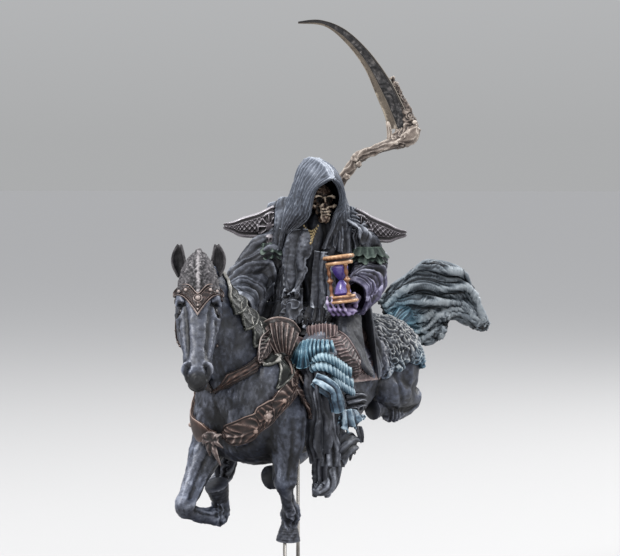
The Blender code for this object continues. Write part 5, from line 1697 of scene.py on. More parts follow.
def build_tail():
    """Waving sheets of hair, scored with fine lines on both faces, with loose strands at their edges."""
    thin = PLANE_FRONT
    forms = []
    for rows, folds, columns, lines in ((TAIL_SHEET, 3.4, 330, 96), (TAIL_UNDER, 2.4, 190, 70)):
        grid = [faced(*np.array(row, float).T) for row in rows]

        def surface(u, v, grid=grid, folds=folds):
            fray = 0.05 * (np.sin(41 * v + 3) + np.sin(17 * v)) * step(0.75, 1.0, u)
            sheet = np.stack([spline(row, np.clip(u + fray, 0, 1)) for row in grid])
            place = spline(sheet, v)
            bend = folds * v + 0.42 * np.sin(9 * u + 2.2 * v) + 0.5 * u
            swell = 1.5 * np.sin(TURN * bend) + 0.6 * np.sin(TURN * (2.3 * bend + 0.7 * u))
            return place + (swell * (0.25 + 0.75 * step(0.0, 0.25, u)))[..., None] * thin

        def strands(u, v, p, folds=folds):
            line = 26 * v + 2.2 * np.sin(9 * u + 2.2 * v) + 1.2 * noise(p, 4.0, 2)
            deep = 0.4 * ridges(TURN * (folds * 1.5 * v + 0.6 * np.sin(9 * u + 2 * v)) + noise(p, 3.0))
            return 0.17 * ridges(TURN * line) + 0.1 * ridges(TURN * 2.3 * line) + deep

        sheet = slab(surface, columns, lines, 1.7, strands, edge=0.7, outside=lambda p: thin)
        count = len(sheet.points) // 2
        lines_back = strands(sheet.marks["u"], sheet.marks["v"], sheet.points)
        forms.append(sheet.lift(np.where(sheet.normals() @ thin < 0, 0.8 * lines_back, 0)))
        edge_places = sheet.points[:count].reshape(columns + 1, lines + 1, 3)
        for j, line in enumerate((0, lines // 5, lines // 2, 4 * lines // 5, lines)):
            start = columns // 4 + 17 * j
            path = edge_places[start :: columns // 9, line] - 0.4 * thin
            away = unit(path[-1] - path[-2])
            rows_out = [(p + UP * 0.45 * math.sin(2.1 * i + j), 0.5, 0.5) for i, p in enumerate(path)]
            rows_out.append((path[-1] + away * (0.4 + 0.35 * (j % 3)), 0.14, 0.14))
            if len(rows_out) > 2:
                forms.append(tube(rows_out, side=thin, rings=70, sides=10))
    root = [
        ((0, 39, 71.4), 2.4, 2.4), ((-0.2, 42, 74), 2.6, 3.0), ((-0.2, 45.4, 76.4), 1.9, 3.6),
        ((0.4, 48.4, 78), 1.0, 3.0),
    ]
    forms.append(
        tube(
            root,
            side=thin,
            rings=60,
            sides=90,
            relief=lambda s, a, p: 0.3 * ridges(9 * a + 4 * s) + 0.1 * ridges(29 * a),
        )
    )
    tail = joined(forms)
    p = tail.points
    near_root = np.exp(-(np.linalg.norm((p - vec(0.5, 45, 74)) / vec(3, 6, 5), axis=1) ** 2))
    tail.marks["teal"] = np.clip(1.3 * near_root, 0, 1)
    hair = paint(
        "tail_paint",
        {
            None: [(4, 5, 7), (21, 25, 30), (56, 63, 70), (100, 108, 115), (158, 165, 170)],
            "teal": [(1, 8, 13), (9, 32, 44), (33, 76, 96), (84, 128, 146), (150, 180, 190)],
        },
        roughness=0.55,
    )
    piece(
        "horse_tail_hair", tail, hair, "tail_paint", "horse_tail", fine=0.07, broad=0.7, base=0.36,
        light=0.14, keep=0.36,
    )


# The rider


BODY_FRONT, BODY_LEFT = heading(30)
FACE_FRONT, FACE_LEFT = heading(50)
NECK_BASE = vec(0.8, 7, 100.5)
SKULL = vec(3.4, 4.6, 105.4)
CROWN = vec(0.4, 8.2, 115.6)


def robe_paint():
    """Blue-grey cloth, violet where the hourglass's light is painted on it, and paler where its marks say so,
    which on the tops of the hood and mantle is a painted highlight.
    """
    return paint(
        "robe_paint",
        {
            None: [(2, 2, 5), (13, 14, 19), (38, 40, 47), (80, 83, 92), (146, 150, 159)],
            "violet": [(5, 3, 9), (22, 18, 33), (54, 48, 74), (98, 93, 124), (160, 156, 184)],
            "pale": [(4, 5, 8), (24, 27, 35), (62, 68, 79), (112, 118, 130), (172, 178, 188)],
        },
        roughness=0.6,
    )


def build_rider():
    """The rider's clothes, skull, hands and legs."""
    material = robe_paint()
    build_hood(material)
    build_mantle(material)
    build_cloak(material)
    build_robe(material)
    build_sleeves(material)
    build_skull()
    build_hands()
    build_legs(material)
    build_frills()


def build_hood(material):
    """A deep cowl: the cap behind, and two swept sides that part over the face and run out in points."""
    low = vec(0.4, 7.6, 98)

    def cap(u, v):
        angle = math.radians(58) + u * math.radians(244)
        centre = low + np.multiply.outer(v, CROWN - UP * 0.4 - low)
        round_off = np.sqrt(np.clip(1 - v**4, 0.0004, 1))
        spread = 1 + 0.3 * (1 - v) ** 2
        place = centre + (np.sin(angle) * 5.7 * round_off * spread)[..., None] * FACE_LEFT
        return place + (np.cos(angle) * 6.0 * round_off * spread)[..., None] * FACE_FRONT

    def streaks(u, v, p):
        return (
            cloth(7 * u + 0.6 * np.sin(5 * v), 0.34, p, 2) * (1 - 0.6 * v)
            + 0.08 * ridges(TURN * 30 * u + 2 * noise(p, 1.4))
        )

    forms = [slab(cap, 150, 90, 0.9, streaks, edge=0.7, outside=lambda p: p - low)]
    seam = [(-0.8, 116.2, -3), (0.5, 116.5, 2), (2.3, 115.8, 7), (4.3, 114.1, 11.2), (5.6, 111.5, 14.0)]
    forms.append(tube([(faced(*place), 0.4, 0.3) for place in seam], side=PLANE_RIGHT, rings=60, sides=20))
    for rows, turn in ((COWL_LEFT, 1), (COWL_RIGHT, -1)):

        def relief(u, v, p, turn=turn):
            flow = 3.4 * u + 0.9 * v * turn + 0.25 * np.sin(6 * v)
            fine = 0.09 * ridges(TURN * (13 * u + 2 * v) + 1.6 * noise(p, 1.8, 4))
            rim = 0.3 * step(0.93, 0.97, u)
            return cloth(flow, 0.34, p, 5) * (0.35 + 0.65 * step(0.1, 0.6, v)) + fine + rim

        forms.append(drape(rows, faced, 120, 150, 0.95, relief))
    hood = joined(forms)
    # paler towards the top: a painted highlight where light falls on the upper hood
    hood.marks["pale"] = 0.9 * step(98, 106, hood.points[:, 2])
    piece("hood", hood, material, "robe_paint", "rider", fine=0.08, base=0.42, light=0.15, keep=0.27)


def build_mantle(material):
    """The short cape: a pleated fall behind, shoulder cloths in front, and a ribbed strap on the left."""

    def surface(u, v):
        angle = math.radians(52) + u * math.radians(256)
        fall = v * (8 + 1.5 * np.sin(5 * angle) + 0.8 * np.sin(13 * angle))
        spread = np.minimum(1.0, v * 1.7)
        wave = 0.7 * v * np.sin(9 * angle)
        wide, deep = 5.6 + 7.0 * spread + wave, 4.6 + 3.6 * spread + wave
        place = NECK_BASE + (2.4 - fall)[..., None] * UP
        return (
            place
            + (np.sin(angle) * wide)[..., None] * BODY_LEFT
            + (np.cos(angle) * deep)[..., None] * BODY_FRONT
        )

    forms = [
        slab(
            surface,
            240,
            70,
            0.8,
            lambda u, v, p: cloth(11 * u + 0.5 * v, 0.6, p, 3),
            edge=0.6,
            outside=lambda p: p - NECK_BASE,
        )
    ]
    forms.append(hung(SHOULDER_RIGHT, lambda u, v: 3.6 * u + 1.6 * v, 0.6, (90, 80), seed=3))
    forms.append(hung(SHOULDER_LEFT, lambda u, v: 4.2 * u - 1.8 * v, 0.6, (90, 80), seed=6))
    ribbed = drape(SHOULDER_STRAP, faced, 24, 70, 1.0, lambda u, v, p: 0.3 * ridges(TURN * 7 * v))
    forms.append(ribbed)
    mantle = joined(forms)
    # paler towards the top: a painted highlight on the shoulders
    mantle.marks["pale"] = 0.6 * step(96, 102, mantle.points[:, 2])
    piece("mantle", mantle, material, "robe_paint", fine=0.08, base=0.4, keep=0.3)


def build_cloak(material):
    """The long cloak that falls behind over the saddle, and its point on each side."""

    def surface(u, v):
        angle = math.radians(84) + u * math.radians(192)
        drop = np.minimum(1.0, v / 0.72)
        trail = np.clip((v - 0.72) / 0.28, 0, 1)
        fold = 0.95 * np.sin(13 * angle + 3 * v) * drop
        wide = 8.6 + 4.6 * drop + 2.2 * trail + fold
        deep = 5.6 + 4 * drop + fold + 9 * trail
        fray = 0.9 * trail * (np.sin(31 * angle) + 0.5 * np.sin(57 * angle))
        fall = 99.5 - 25.5 * drop - (1.2 + 10 * np.sin(angle) ** 2) * trail - fray
        centre = np.stack([np.full_like(u, 0.6), np.full_like(u, 7.4), fall], -1)
        return (
            centre
            + (np.sin(angle) * wide)[..., None] * BODY_LEFT
            + (np.cos(angle) * deep)[..., None] * BODY_FRONT
        )

    def relief(u, v, p):
        return cloth(13 * u + 0.6 * np.sin(5 * v), 0.62, p, 5) * step(0.05, 0.3, v)

    cloak = slab(surface, 260, 130, 0.8, relief, edge=0.6, outside=lambda p: p - vec(0.6, 7.4, 86))
    cloak.marks["pale"] = 0.35 * step(0.86, 0.98, cloak.marks["v"])
    point = hung(CLOAK_POINT, lambda u, v: 2.2 * u + 0.3 * v, 0.28, (60, 100), seed=8, rim=0.2)
    piece(
        "cloak", joined([cloak, point, mirrored(point)]), material, "robe_paint", fine=0.09, broad=0.5,
        base=0.36, keep=0.27,
    )


def leaf_relief(u, v):
    """A leaf plate: a thick rim, a spine and veins that run out from it."""
    edge = np.minimum(v, 1 - v) * 6 * np.sin(math.pi * np.clip(u, 0.02, 0.98))
    rim = 0.4 * (1 - step(0.35, 0.55, edge))
    spine = 0.3 * np.exp(-(((v - 0.5) / 0.05) ** 2))
    return rim + (spine + 0.14 * ridges(TURN * (9 * u + 5 * np.abs(v - 0.5)))) * step(0.5, 0.8, edge)


def build_robe(material):
    """The gown's body, its lap and the torn, folded fronts that hang open over it."""
    gown = [
        ((-0.5, 7, 69), 9, 8),
        ((-0.6, 6.6, 76), 9, 7.6),
        ((-0.2, 6.6, 84), 8.2, 6.2),
        ((0.4, 6.8, 92), 8.8, 6.2),
        ((0.8, 7, 98), 9.6, 5.6),
        ((0.8, 7.2, 101.5), 7.6, 4.6),
        ((1.2, 7, 104), 3.6, 3.6),
    ]
    lap = [((-1, 0, 80), 8, 2.6), ((0, -2.2, 76), 8.6, 2.8), ((0.4, -3, 72.5), 9, 3.2)]

    def pleats(s, a, p):
        return cloth(2.4 * a, 0.55, p, 6)

    form = joined(
        [
            tube(gown, side=BODY_LEFT, rings=80, sides=160, relief=pleats),
            tube(lap, side=BODY_LEFT, rings=40, sides=140, relief=pleats),
        ]
    )
    # base 0.2 paints the whole gown dark: painted shade for the opening between the robe's fronts
    piece("gown", form, material, "robe_paint", base=0.2, fine=0.09)
    fronts = [
        hung(
            LAPEL,
            lambda u, v: 2.2 * u + 0.9 * v + 0.2 * np.sin(7 * v),
            0.6,
            (110, 150),
            tear=1.1,
            seed=1,
            rim=0.25,
        ),
        hung(FRONT_PANEL, lambda u, v: 2.1 * u - 0.5 * v, 0.55, (80, 110), tear=0.9, seed=2, rim=0.25),
        hung(SIDE_PANEL, lambda u, v: 1.6 * u - 0.4 * v, 0.5, (60, 80), tear=0.9, seed=4, rim=0.25),
        hung(GOWN_HEM, lambda u, v: 5 * u + 0.4 * v, 0.5, (110, 50), tear=1.6, seed=5),
    ]
    piece("robe_fronts", joined(fronts), material, "robe_paint", fine=0.1, base=0.48, keep=0.26)

    def embossed(u, v, p):
        warp = p + 0.9 * np.stack([noise(p, 1.8, k) for k in (1, 2, 3)], -1)
        return (
            0.34 * (1 - 2 * np.abs(noise(warp, 1.3, 6)) ** 0.8)
            + 0.3 * billows(TURN * 2 * u + noise(p, 3.0))
        )

    under = drape(UNDER_LAPEL, faced, 80, 80, 0.8, embossed, tear=0.6)
    strip = hung(PLEATED_STRIP, lambda u, v: 5 * u + 0.5 * v, 0.34, (90, 80), seed=9)
    piece("robe_inner", joined([under, strip]), material, "robe_paint", fine=0.08, base=0.4)


def sleeve(stations, side, name, material, rings, columns=170, rows=130, **marks):
    """An open sleeve: its skin is one curved sheet that closes on itself, with a turned-back cuff."""
    rows_table = [[*place, width, deep] for place, width, deep in stations]

    def surface(u, v):
        row = spline(rows_table, v)
        ahead = (
            spline(rows_table, np.clip(v + 0.01, 0, 1))[..., :3]
            - spline(rows_table, np.clip(v - 0.01, 0, 1))[..., :3]
        )
        tangent = unit(ahead)
        across = unit(side - tangent * (tangent @ side)[..., None])
        front = np.cross(tangent, across)
        angle = u * TURN
        swell = 1 + 0.07 * np.sin(3 * angle + 5 * v) + 0.04 * np.sin(7 * angle - 3 * v)
        place = row[..., :3] + across * (row[..., 3] * np.cos(angle) * swell)[..., None]
        return place + front * (row[..., 4] * np.sin(angle) * swell)[..., None]

    def relief(u, v, p):
        swirl = rings * v + 0.9 * np.sin(TURN * u + 1) + 0.4 * np.sin(2 * TURN * u)
        folds = cloth(swirl, 0.55, p, 7) * (1 - 0.6 * step(0.7, 0.95, v))
        cuff = 0.55 * step(0.9, 0.93, v) - 0.25 * np.exp(-(((v - 0.88) / 0.012) ** 2))
        return folds + cuff + 0.08 * ridges(TURN * 17 * u + 2 * noise(p, 1.5))

    form = slab(surface, columns, rows, 0.7, None, edge=0.001)
    centres = spline(rows_table, form.marks["v"])[:, :3]
    outside = np.einsum("ij,ij->i", form.normals(), form.points - centres) > 0
    form.lift(np.where(outside, relief(form.marks["u"], form.marks["v"], form.points), 0))
    for key, value in marks.items():
        form.marks[key] = value(form.points)
    piece(name, form, material, "robe_paint", fine=0.09, broad=0.45, base=0.38, keep=0.28)


def build_sleeves(material):
    """The wide right sleeve that reaches for the rein, and the left one, drawn up."""
    right = [
        ((-6.5, 3.2, 98.5), 4, 4),
        ((-8.6, -0.6, 93.5), 4.6, 4.6),
        ((-10, -5.6, 87.5), 5, 5),
        ((-8.8, -11.6, 83.2), 5.2, 5.2),
        ((-7.4, -16.2, 80.4), 5.4, 5.6),
        ((-6.8, -18.6, 79.0), 5.3, 5.8),
    ]
    left = [
        ((7, 12, 98.5), 3.8, 3.8),
        ((9.6, 14.4, 93), 4, 4),
        ((11.2, 13.6, 87.6), 4, 4),
        ((12.8, 8.4, 84), 3.8, 4),
        ((13.3, 4.4, 82.6), 3.4, 3.8),
    ]
    sleeve(right, BODY_LEFT, "sleeve_right", material, 6.5, pale=lambda p: 0.4 * step(-12, -18, p[:, 1]))
    # the left sleeve turns violet towards its end: painted light from the glowing hourglass
    sleeve(
        left, BODY_LEFT, "sleeve_left", material, 8, 150, 120, violet=lambda p: step(92, 84, p[:, 2]) * 0.8
    )


def build_skull():
    """A fleshless face, bowed a little, with torn lips, and the gold chain below it."""
    down = unit(FACE_FRONT * 0.28 - UP)
    out = -np.cross(FACE_LEFT, down)
    if out @ FACE_FRONT < 0:
        out = -out
    axes = (FACE_LEFT, out, down)

    def place(left, front, drop):
        return SKULL + FACE_LEFT * left + out * (front - 0.4) + down * drop

    def bone(left, front, drop, radii):
        return ball(place(left, front, drop), radii, axes)

    forms = [
        bone(0, -0.6, -1.6, (3.2, 3.9, 3.4)),
        bone(0, 1.9, 1.6, (2.1, 1.9, 2.4)),
        bone(0, 2.0, 4.2, (1.5, 1.6, 1.3)),
        bone(0, 2.9, 2.5, (1.4, 1.1, 1.2)),
        bone(-1.6, 2.9, -0.9, (1.45, 0.8, 0.5)),
        bone(1.6, 2.9, -0.9, (1.45, 0.8, 0.5)),
        bone(-2.3, 2.3, 1.2, (0.95, 0.9, 0.55)),
        bone(2.3, 2.3, 1.2, (0.95, 0.9, 0.55)),
        bone(0, 3.4, 0.2, (0.5, 0.85, 1.1)),
    ]
    skull = fused(forms, 0.13, smooth=2)
    strokes = [
        ([place(0, 4.0, 1.2), place(0, 3.9, 1.7)], 0.36, -0.8),
        ([place(-0.4, 3.5, -1.6), place(-0.2, 3.5, -3.4)], 0.2, -0.25),
    ]
    for sign in (-1, 1):
        strokes += [
            ([place(1.35 * sign, 3.5, 0.1), place(1.5 * sign, 3.1, 0.35)], 0.72, -1.3),
            ([place(1.8 * sign, 3.0, 2.4), place(1.6 * sign, 3.2, 3.6)], 0.5, -0.6),
            (
                [place(0.3 * sign, 3.6, -0.5), place(1.3 * sign, 3.9, -1.1), place(2.4 * sign, 3.2, -0.8)],
                0.28,
                0.35,
            ),
            ([place(0.5 * sign, 3.4, -2.4), place(1.6 * sign, 3.0, -2.9)], 0.25, -0.25),
            (
                [place(0.5 * sign, 3.9, 1.9), place(1.2 * sign, 3.4, 3.0), place(1.3 * sign, 3.0, 4.4)],
                0.22,
                0.25,
            ),
        ]
    for drop in (2.7, 3.5, 4.3):
        strokes.append(
            ([place(-1.4, 3.4, drop), place(0, 4.0, drop + 0.15), place(1.4, 3.4, drop)], 0.15, -0.35)
        )
    skull = carved(skull, strokes)
    low = step(107, 103, skull.points[:, 2])
    skull.lift(
        0.1 * rough(skull.points, 0.55)
        + (0.15 * ridges(6 * noise(skull.points, 1.6, 3)) + 0.14 * noise(skull.points, 0.5)) * low
    )
    teeth = []
    for row, drop in ((0, 2.95), (1, 3.75)):
        for k in range(7):
            left = 0.36 * (k - 3)
            size = 0.14 + 0.04 * math.sin(5 * k + row)
            spot = place(left, 3.8 - 0.2 * left**2 - 0.15 * row, drop + 0.12 * math.sin(7 * k + 2 * row))
            teeth.append(ball(spot, (size, size, 0.25), axes, sides=10))
    bone_paint = paint(
        "bone_paint",
        {None: [(2, 1, 1), (20, 12, 9), (56, 42, 35), (110, 93, 81), (192, 178, 160)]},
        roughness=0.5,
    )
    piece("skull", skull, bone_paint, "robe_paint", fine=0.06, broad=0.28, base=0.42, light=0.12, keep=0.6)
    piece("teeth", joined(teeth), bone_paint, "robe_paint", base=0.56, keep=1)
    build_necklace()


def build_necklace():
    """Rows of small gold links that hang below the face."""
    gold = paint(
        "gold_paint",
        {None: [(6, 3, 2), (36, 26, 15), (80, 66, 44), (150, 134, 100)]},
        roughness=0.4,
        metallic=0.4,
    )
    links = []
    for row in range(5):
        for k in range(9):
            share = (k - 4) / 4
            centre = vec(3.3, 0.3, 98.6 - 0.75 * row) + BODY_LEFT * (1.75 - 0.3 * row) * share
            centre = centre + UP * (1.3 * share**2) + BODY_FRONT * (1.5 - 0.8 * share**2 + 0.2 * row)
            links.append(ball(centre, (0.3, 0.3, 0.34), sides=8))
    piece("necklace", joined(links), gold, "robe_paint", base=0.5)


def finger(route, radius):
    """A bony finger, swollen at each place of its route."""
    rows = [(p, radius * w, radius * w) for p, w in zip(route, np.linspace(1, 0.6, len(route)))]

    def knuckles(s, a, p):
        return 0.22 * radius * np.cos(s * TURN * (len(route) - 1))

    return tube(rows, rings=36, sides=14, relief=knuckles)


def build_hands():
    """Bony hands: the right one takes the rein at the crest, the left one holds the hourglass up."""
    bone_paint = bpy.data.materials["bone_paint"]
    forms = []
    for k in range(4):
        x, y = 12.2 + 0.95 * k, -4.4 + 0.75 * k
        forms.append(
            finger(
                [
                    vec(x + 0.6, y + 2.6, 78.8), vec(x + 0.3, y + 1.0, 78.6), vec(x, y - 0.1, 79.6),
                    vec(x - 0.5, y - 0.4, 81.2), vec(x - 0.8, y, 82.8),
                ],
                0.55,
            )
        )
    forms.append(
        finger([vec(14.6, 2.6, 79.6), vec(15.6, 1.6, 80.4), vec(16.7, 0.4, 82), vec(16.5, -0.4, 83.8)], 0.6)
    )
    forms.append(ball((13.9, 0.6, 79.2), (2.3, 2.6, 1.0)))
    forms.append(
        tube([((13.0, 6, 82.4), 1.3, 1.2), ((13.5, 2.6, 80.4), 1.5, 1.0), ((13.9, 0, 79.2), 1.9, 0.8)])
    )
    left = fused(forms, 0.16, smooth=1)
    # violet on the lower hand: painted light from the glowing hourglass
    left.marks["violet"] = np.clip(step(84, 79, left.points[:, 2]), 0, 1)
    glow_bone = paint(
        "lit_bone_paint",
        {
            None: [(4, 2, 4), (26, 20, 26), (66, 56, 68), (116, 107, 124), (182, 174, 190)],
            "violet": [(6, 3, 11), (32, 22, 46), (72, 58, 94), (122, 108, 148), (190, 180, 208)],
        },
        roughness=0.5,
    )
    piece("hand_left", left, glow_bone, "robe_paint", fine=0.07, base=0.38)
    forms = [
        tube(
            [
                ((-6.8, -15.4, 80.6), 1.2, 1.2), ((-5.6, -20.4, 79.4), 1.1, 1.0),
                ((-4.9, -22.6, 79), 1.7, 0.9), ((-4.5, -24, 78.6), 1.5, 0.7),
            ]
        )
    ]
    for k in range(4):
        x = -6.2 + 0.95 * k
        forms.append(
            finger(
                [
                    vec(x, -22.8, 79.4), vec(x + 0.3, -25, 79.8), vec(x + 0.5, -26.4, 78.6),
                    vec(x + 0.7, -26.2, 76.8),
                ],
                0.5,
            )
        )
    right = fused(forms, 0.16, smooth=1)
    piece("hand_right", right, bone_paint, "robe_paint", fine=0.06, base=0.44)


def build_legs(material):
    """On each leg: inner gown and foot, long folds from the knee, ruffles behind and fluted teal plates."""
    teal = teal_paint()
    thigh = [
        ((4.5, 6, 73), 4.8, 4.8), ((9.4, -3, 71.2), 4.6, 4.6), ((12.8, -11, 68), 4.2, 4.4),
        ((13.6, -14, 66), 3, 3.2),
    ]
    shin = [
        ((13, -12, 68), 3.6, 3.8), ((14.4, -11.4, 60), 3.2, 3.9), ((15.2, -9.6, 52), 3, 4.4),
        ((15.6, -9, 46), 2.9, 4.6), ((15.7, -9.4, 42), 2.4, 4),
    ]
    foot = [
        ((15.6, -8, 44), 2.2, 2.4), ((15.8, -9.4, 39), 1.9, 2.2), ((15.9, -12, 37), 1.8, 1.5),
        ((16, -16, 36.4), 1, 0.8),
    ]
    inner = joined(
        [
            tube(thigh, rings=60, sides=90, relief=lambda s, a, p: cloth(2.5 * s + 0.1 * a, 0.4, p, 2)),
            tube(shin, rings=90, sides=100, relief=lambda s, a, p: cloth(1.6 * a + s, 0.5, p, 3)),
            tube(foot, rings=60, sides=50, relief=lambda s, a, p: cloth(a + 3 * s, 0.25, p, 4)),
        ]
    )
    folds = [
        hung(KNEE_ROBE, lambda u, v: 5.4 * u + 0.7 * v, 0.8, (130, 120), tear=1.2, seed=11),
        hung(SHREDS, lambda u, v: 6 * u + 0.5 * v, 0.7, (90, 70), tear=2.2, seed=12),
        hung(DARK_RUFFLES, lambda u, v: 3 * v + 2 * u, 0.6, (60, 50), tear=1.4, seed=13),
        hung(SMALL_RUFFLES, lambda u, v: 4 * v + 0.5 * u, 0.45, (60, 50), tear=0.6, seed=14),
        hung(LOOSE_STRIP, lambda u, v: 1.5 * u, 0.25, (20, 40), 0.5, tear=0.5, seed=15),
    ]
    pale_folds = [
        hung(TONGUE, lambda u, v: 3.5 * u, 0.4, (50, 90), 0.9, seed=16, rim=0.2),
        hung(FLOUNCE, lambda u, v: 4.5 * u - 0.6 * v, 0.6, (70, 50), tear=1.0, seed=17),
    ]
    plates = [drape(FAN, faced, 150, 60, 0.9, fan_relief)]
    for k, rows in enumerate((TIER_1, TIER_2, TIER_3)):
        plates.append(
            drape(rows, faced, 130, 28, 0.9, lambda u, v, p, k=k: ruffle_relief(u, v, p, 15 - 3 * k))
        )
    for k, form in enumerate(plates):
        form.marks["pale"] = np.full(len(form.points), 0.1 + 0.16 * k)
    for form in pale_folds:
        form.marks["pale"] = np.full(len(form.points), 0.8)
    plates += pale_folds
    for sign, name in ((1, "left"), (-1, "right")):
        side = [inner, *folds] if sign > 0 else [mirrored(form) for form in (inner, *folds)]
        piece("leg_" + name, joined(side), material, "robe_paint", fine=0.1, broad=0.5, base=0.42, keep=0.24)
        side = plates if sign > 0 else [mirrored(form) for form in plates]
        piece(
            "thigh_plates_" + name, joined(side), teal, "robe_paint", fine=0.08, base=0.42, light=0.22,
            keep=0.24,
        )


def fan_relief(u, v, p):
    """Three broad lobes, then narrow ones, each with fine veins and a turned rim."""
    count = np.where(u < 0.46, u / 0.46 * 3, 3 + (u - 0.46) / 0.54 * 6)
    lobe = np.abs(np.sin(math.pi * count))
    veins = 0.1 * ridges(TURN * 3 * count + 1.2 * np.sin(6 * v))
    rim = 0.24 * (1 - step(0.05, 0.1, 1 - v))
    return 0.7 * lobe**0.6 - 0.4 + (veins + rim) * step(0.1, 0.5, lobe)


def ruffle_relief(u, v, p, count):
    """Short close pleats that roll over a rounded edge."""
    flow = count * u + 0.35 * np.sin(4 * v) + 0.3 * noise(p, 3.0, 3)
    return (
        0.42 * np.abs(np.sin(math.pi * flow)) ** 0.7
        - 0.2
        + 0.5 * np.sin(math.pi * v)
        + 0.07 * ridges(TURN * 2 * flow)
    )


def teal_paint():
    """Teal leg plates, greyer where they are pale."""
    return paint(
        "leg_plate_paint",
        {
            None: [(1, 4, 9), (5, 20, 30), (22, 52, 69), (66, 104, 122), (150, 177, 187)],
            "pale": [(2, 5, 11), (14, 22, 33), (42, 57, 73), (88, 106, 122), (158, 173, 185)],
        },
        roughness=0.5,
    )


def build_frills():
    """Two tiers of dark green frills under each shoulder plate."""
    green = paint(
        "frill_paint",
        {None: [(1, 2, 2), (6, 11, 10), (18, 26, 24), (42, 54, 49), (96, 108, 100)]},
        roughness=0.7,
        specular=0.25,
    )
    forms = []
    for sign, centre in ((-1, vec(-8.6, -1.4, 97)), (1, vec(10.8, 13.6, 96))):
        for tier in range(2):

            def surface(u, v, sign=sign, centre=centre, tier=tier):
                angle = np.radians(-76 + 212 * u)
                wave = (np.sin(7 * angle + 1.7 * tier) + 0.5 * np.sin(17 * angle + tier)) * v
                reach = 3.5 + 1.9 * v + 0.45 * wave - 0.5 * tier
                out = (
                    np.multiply.outer(np.sin(angle) * sign, BODY_LEFT)
                    + np.multiply.outer(np.cos(angle), BODY_FRONT)
                )
                return (
                    centre
                    + out * reach[..., None]
                    - (1.4 + 1.4 * tier + 2.4 * v + 0.4 * wave)[..., None] * UP
                )

            def relief(u, v, p):
                return (
                    0.2 * ridges(46 * u + 2 * noise(p, 1.5))
                    + 0.16 * noise(p, 0.6)
                    + 0.14 * noise(p, 1.4, 2)
                )

            forms.append(slab(surface, 120, 30, 0.45, relief, edge=0.3))
    piece("shoulder_frills", joined(forms), green, "robe_paint", fine=0.08, base=0.4)


# Shoulder plates


RIGHT_SHOULDER, LEFT_SHOULDER = vec(-8.4, -1.6, 100.4), vec(9.6, 13.4, 99.8)
PLATE_TOP = [(-1.4, 4.2), (0.4, 3.3), (2.6, 2.3), (6.2, 1.2), (8.5, 0.1), (10.8, -0.5)]
PLATE_LOW = [(-1.4, -3.4), (0.4, -3.3), (2.8, -3.2), (6.6, -3), (8.6, -1.9), (10.8, -0.8)]


def build_pauldrons():
    """A long pointed, scaled plate on each shoulder, with its fan and a small skull."""
    iron = paint(
        "pauldron_paint",
        {None: [(5, 3, 4), (22, 18, 21), (52, 47, 51), (98, 93, 98), (170, 166, 170)]},
        roughness=0.4,
        metallic=0.25,
        specular=0.5,
    )
    for name, root, out, droop in (
        ("left_pauldron", LEFT_SHOULDER, PLANE_RIGHT, 7),
        ("right_pauldron", RIGHT_SHOULDER, -PLANE_RIGHT, 0),
    ):
        down = math.tan(math.radians(droop))

        def surface(u, v, root=root, out=out, down=down):
            top, low = spline(PLATE_TOP, u), spline(PLATE_LOW, u)
            spot = top + (low - top) * v[..., None]
            belly = 2.2 * np.sin(math.pi * v) * (1 - 0.8 * u)
            place = root + np.multiply.outer(spot[..., 0], out)
            place = place + (spot[..., 1] - down * np.clip(spot[..., 0], 0, None))[..., None] * UP
            return place + (belly - 0.5)[..., None] * PLANE_FRONT

        def relief(u, v, p):
            gap = np.minimum(v, 1 - v) * 6 * (1 - 0.75 * u)
            rim = 0.4 * (1 - step(0.38, 0.52, gap)) - 0.16 * np.exp(-(((gap - 0.68) / 0.1) ** 2))
            scales = 0.13 * ridges(TURN * (15 * u + 4 * v)) + 0.13 * ridges(TURN * (15 * u - 4 * v))
            distance = np.hypot(u * 12.2 - 1.6, (v - 0.62) * 7)
            fan = 0.4 * ridges(
                9 * np.arctan2(u * 12.2 - 1.6, (0.62 - v) * 7)
            ) * step(0.9, 1.2, distance) * (1 - step(2.7, 3.0, distance))
            arc = 0.36 * np.exp(-(((distance - 3.1) / 0.22) ** 2))
            return rim + np.where(distance < 3.0, fan, scales * step(0.85, 1.05, gap)) + arc

        plate = slab(surface, 170, 70, 0.6, None, edge=0.4)
        heights = relief(plate.marks["u"], plate.marks["v"], plate.points)
        plate.lift(np.where(plate.normals() @ PLANE_FRONT > -0.3, heights, 0.3 * heights))
        forms = [plate, small_skull(root - out * 0.2 - UP * 3.7 + PLANE_FRONT * 1.9)]
        piece(name + "_plate", joined(forms), iron, "armour_paint", name, fine=0.06, base=0.4, keep=0.3)


def small_skull(place):
    """The skull below a shoulder plate."""
    axes = (PLANE_RIGHT, PLANE_FRONT, UP)
    forms = [
        ball(place, (1.35, 1.3, 1.35), axes),
        ball(place - UP * 1.3 + PLANE_FRONT * 0.3, (0.85, 0.8, 0.9), axes),
    ]
    head = fused(forms, 0.13, smooth=1)
    strokes = [
        (
            [
                place + PLANE_RIGHT * 0.55 * s + PLANE_FRONT * 1.25 - UP * 0.2,
                place + PLANE_RIGHT * 0.55 * s + PLANE_FRONT * 1.2 - UP * 0.4,
            ],
            0.36,
            -0.6,
        )
        for s in (-1, 1)
    ]
    strokes.append(
        ([place + PLANE_FRONT * 1.4 - UP * 0.9, place + PLANE_FRONT * 1.4 - UP * 1.1], 0.22, -0.35)
    )
    strokes.append(
        ([place + PLANE_RIGHT * x + PLANE_FRONT * 1.1 - UP * 1.7 for x in (-0.6, 0, 0.6)], 0.14, -0.3)
    )
    return carved(head, strokes)


# The scythe


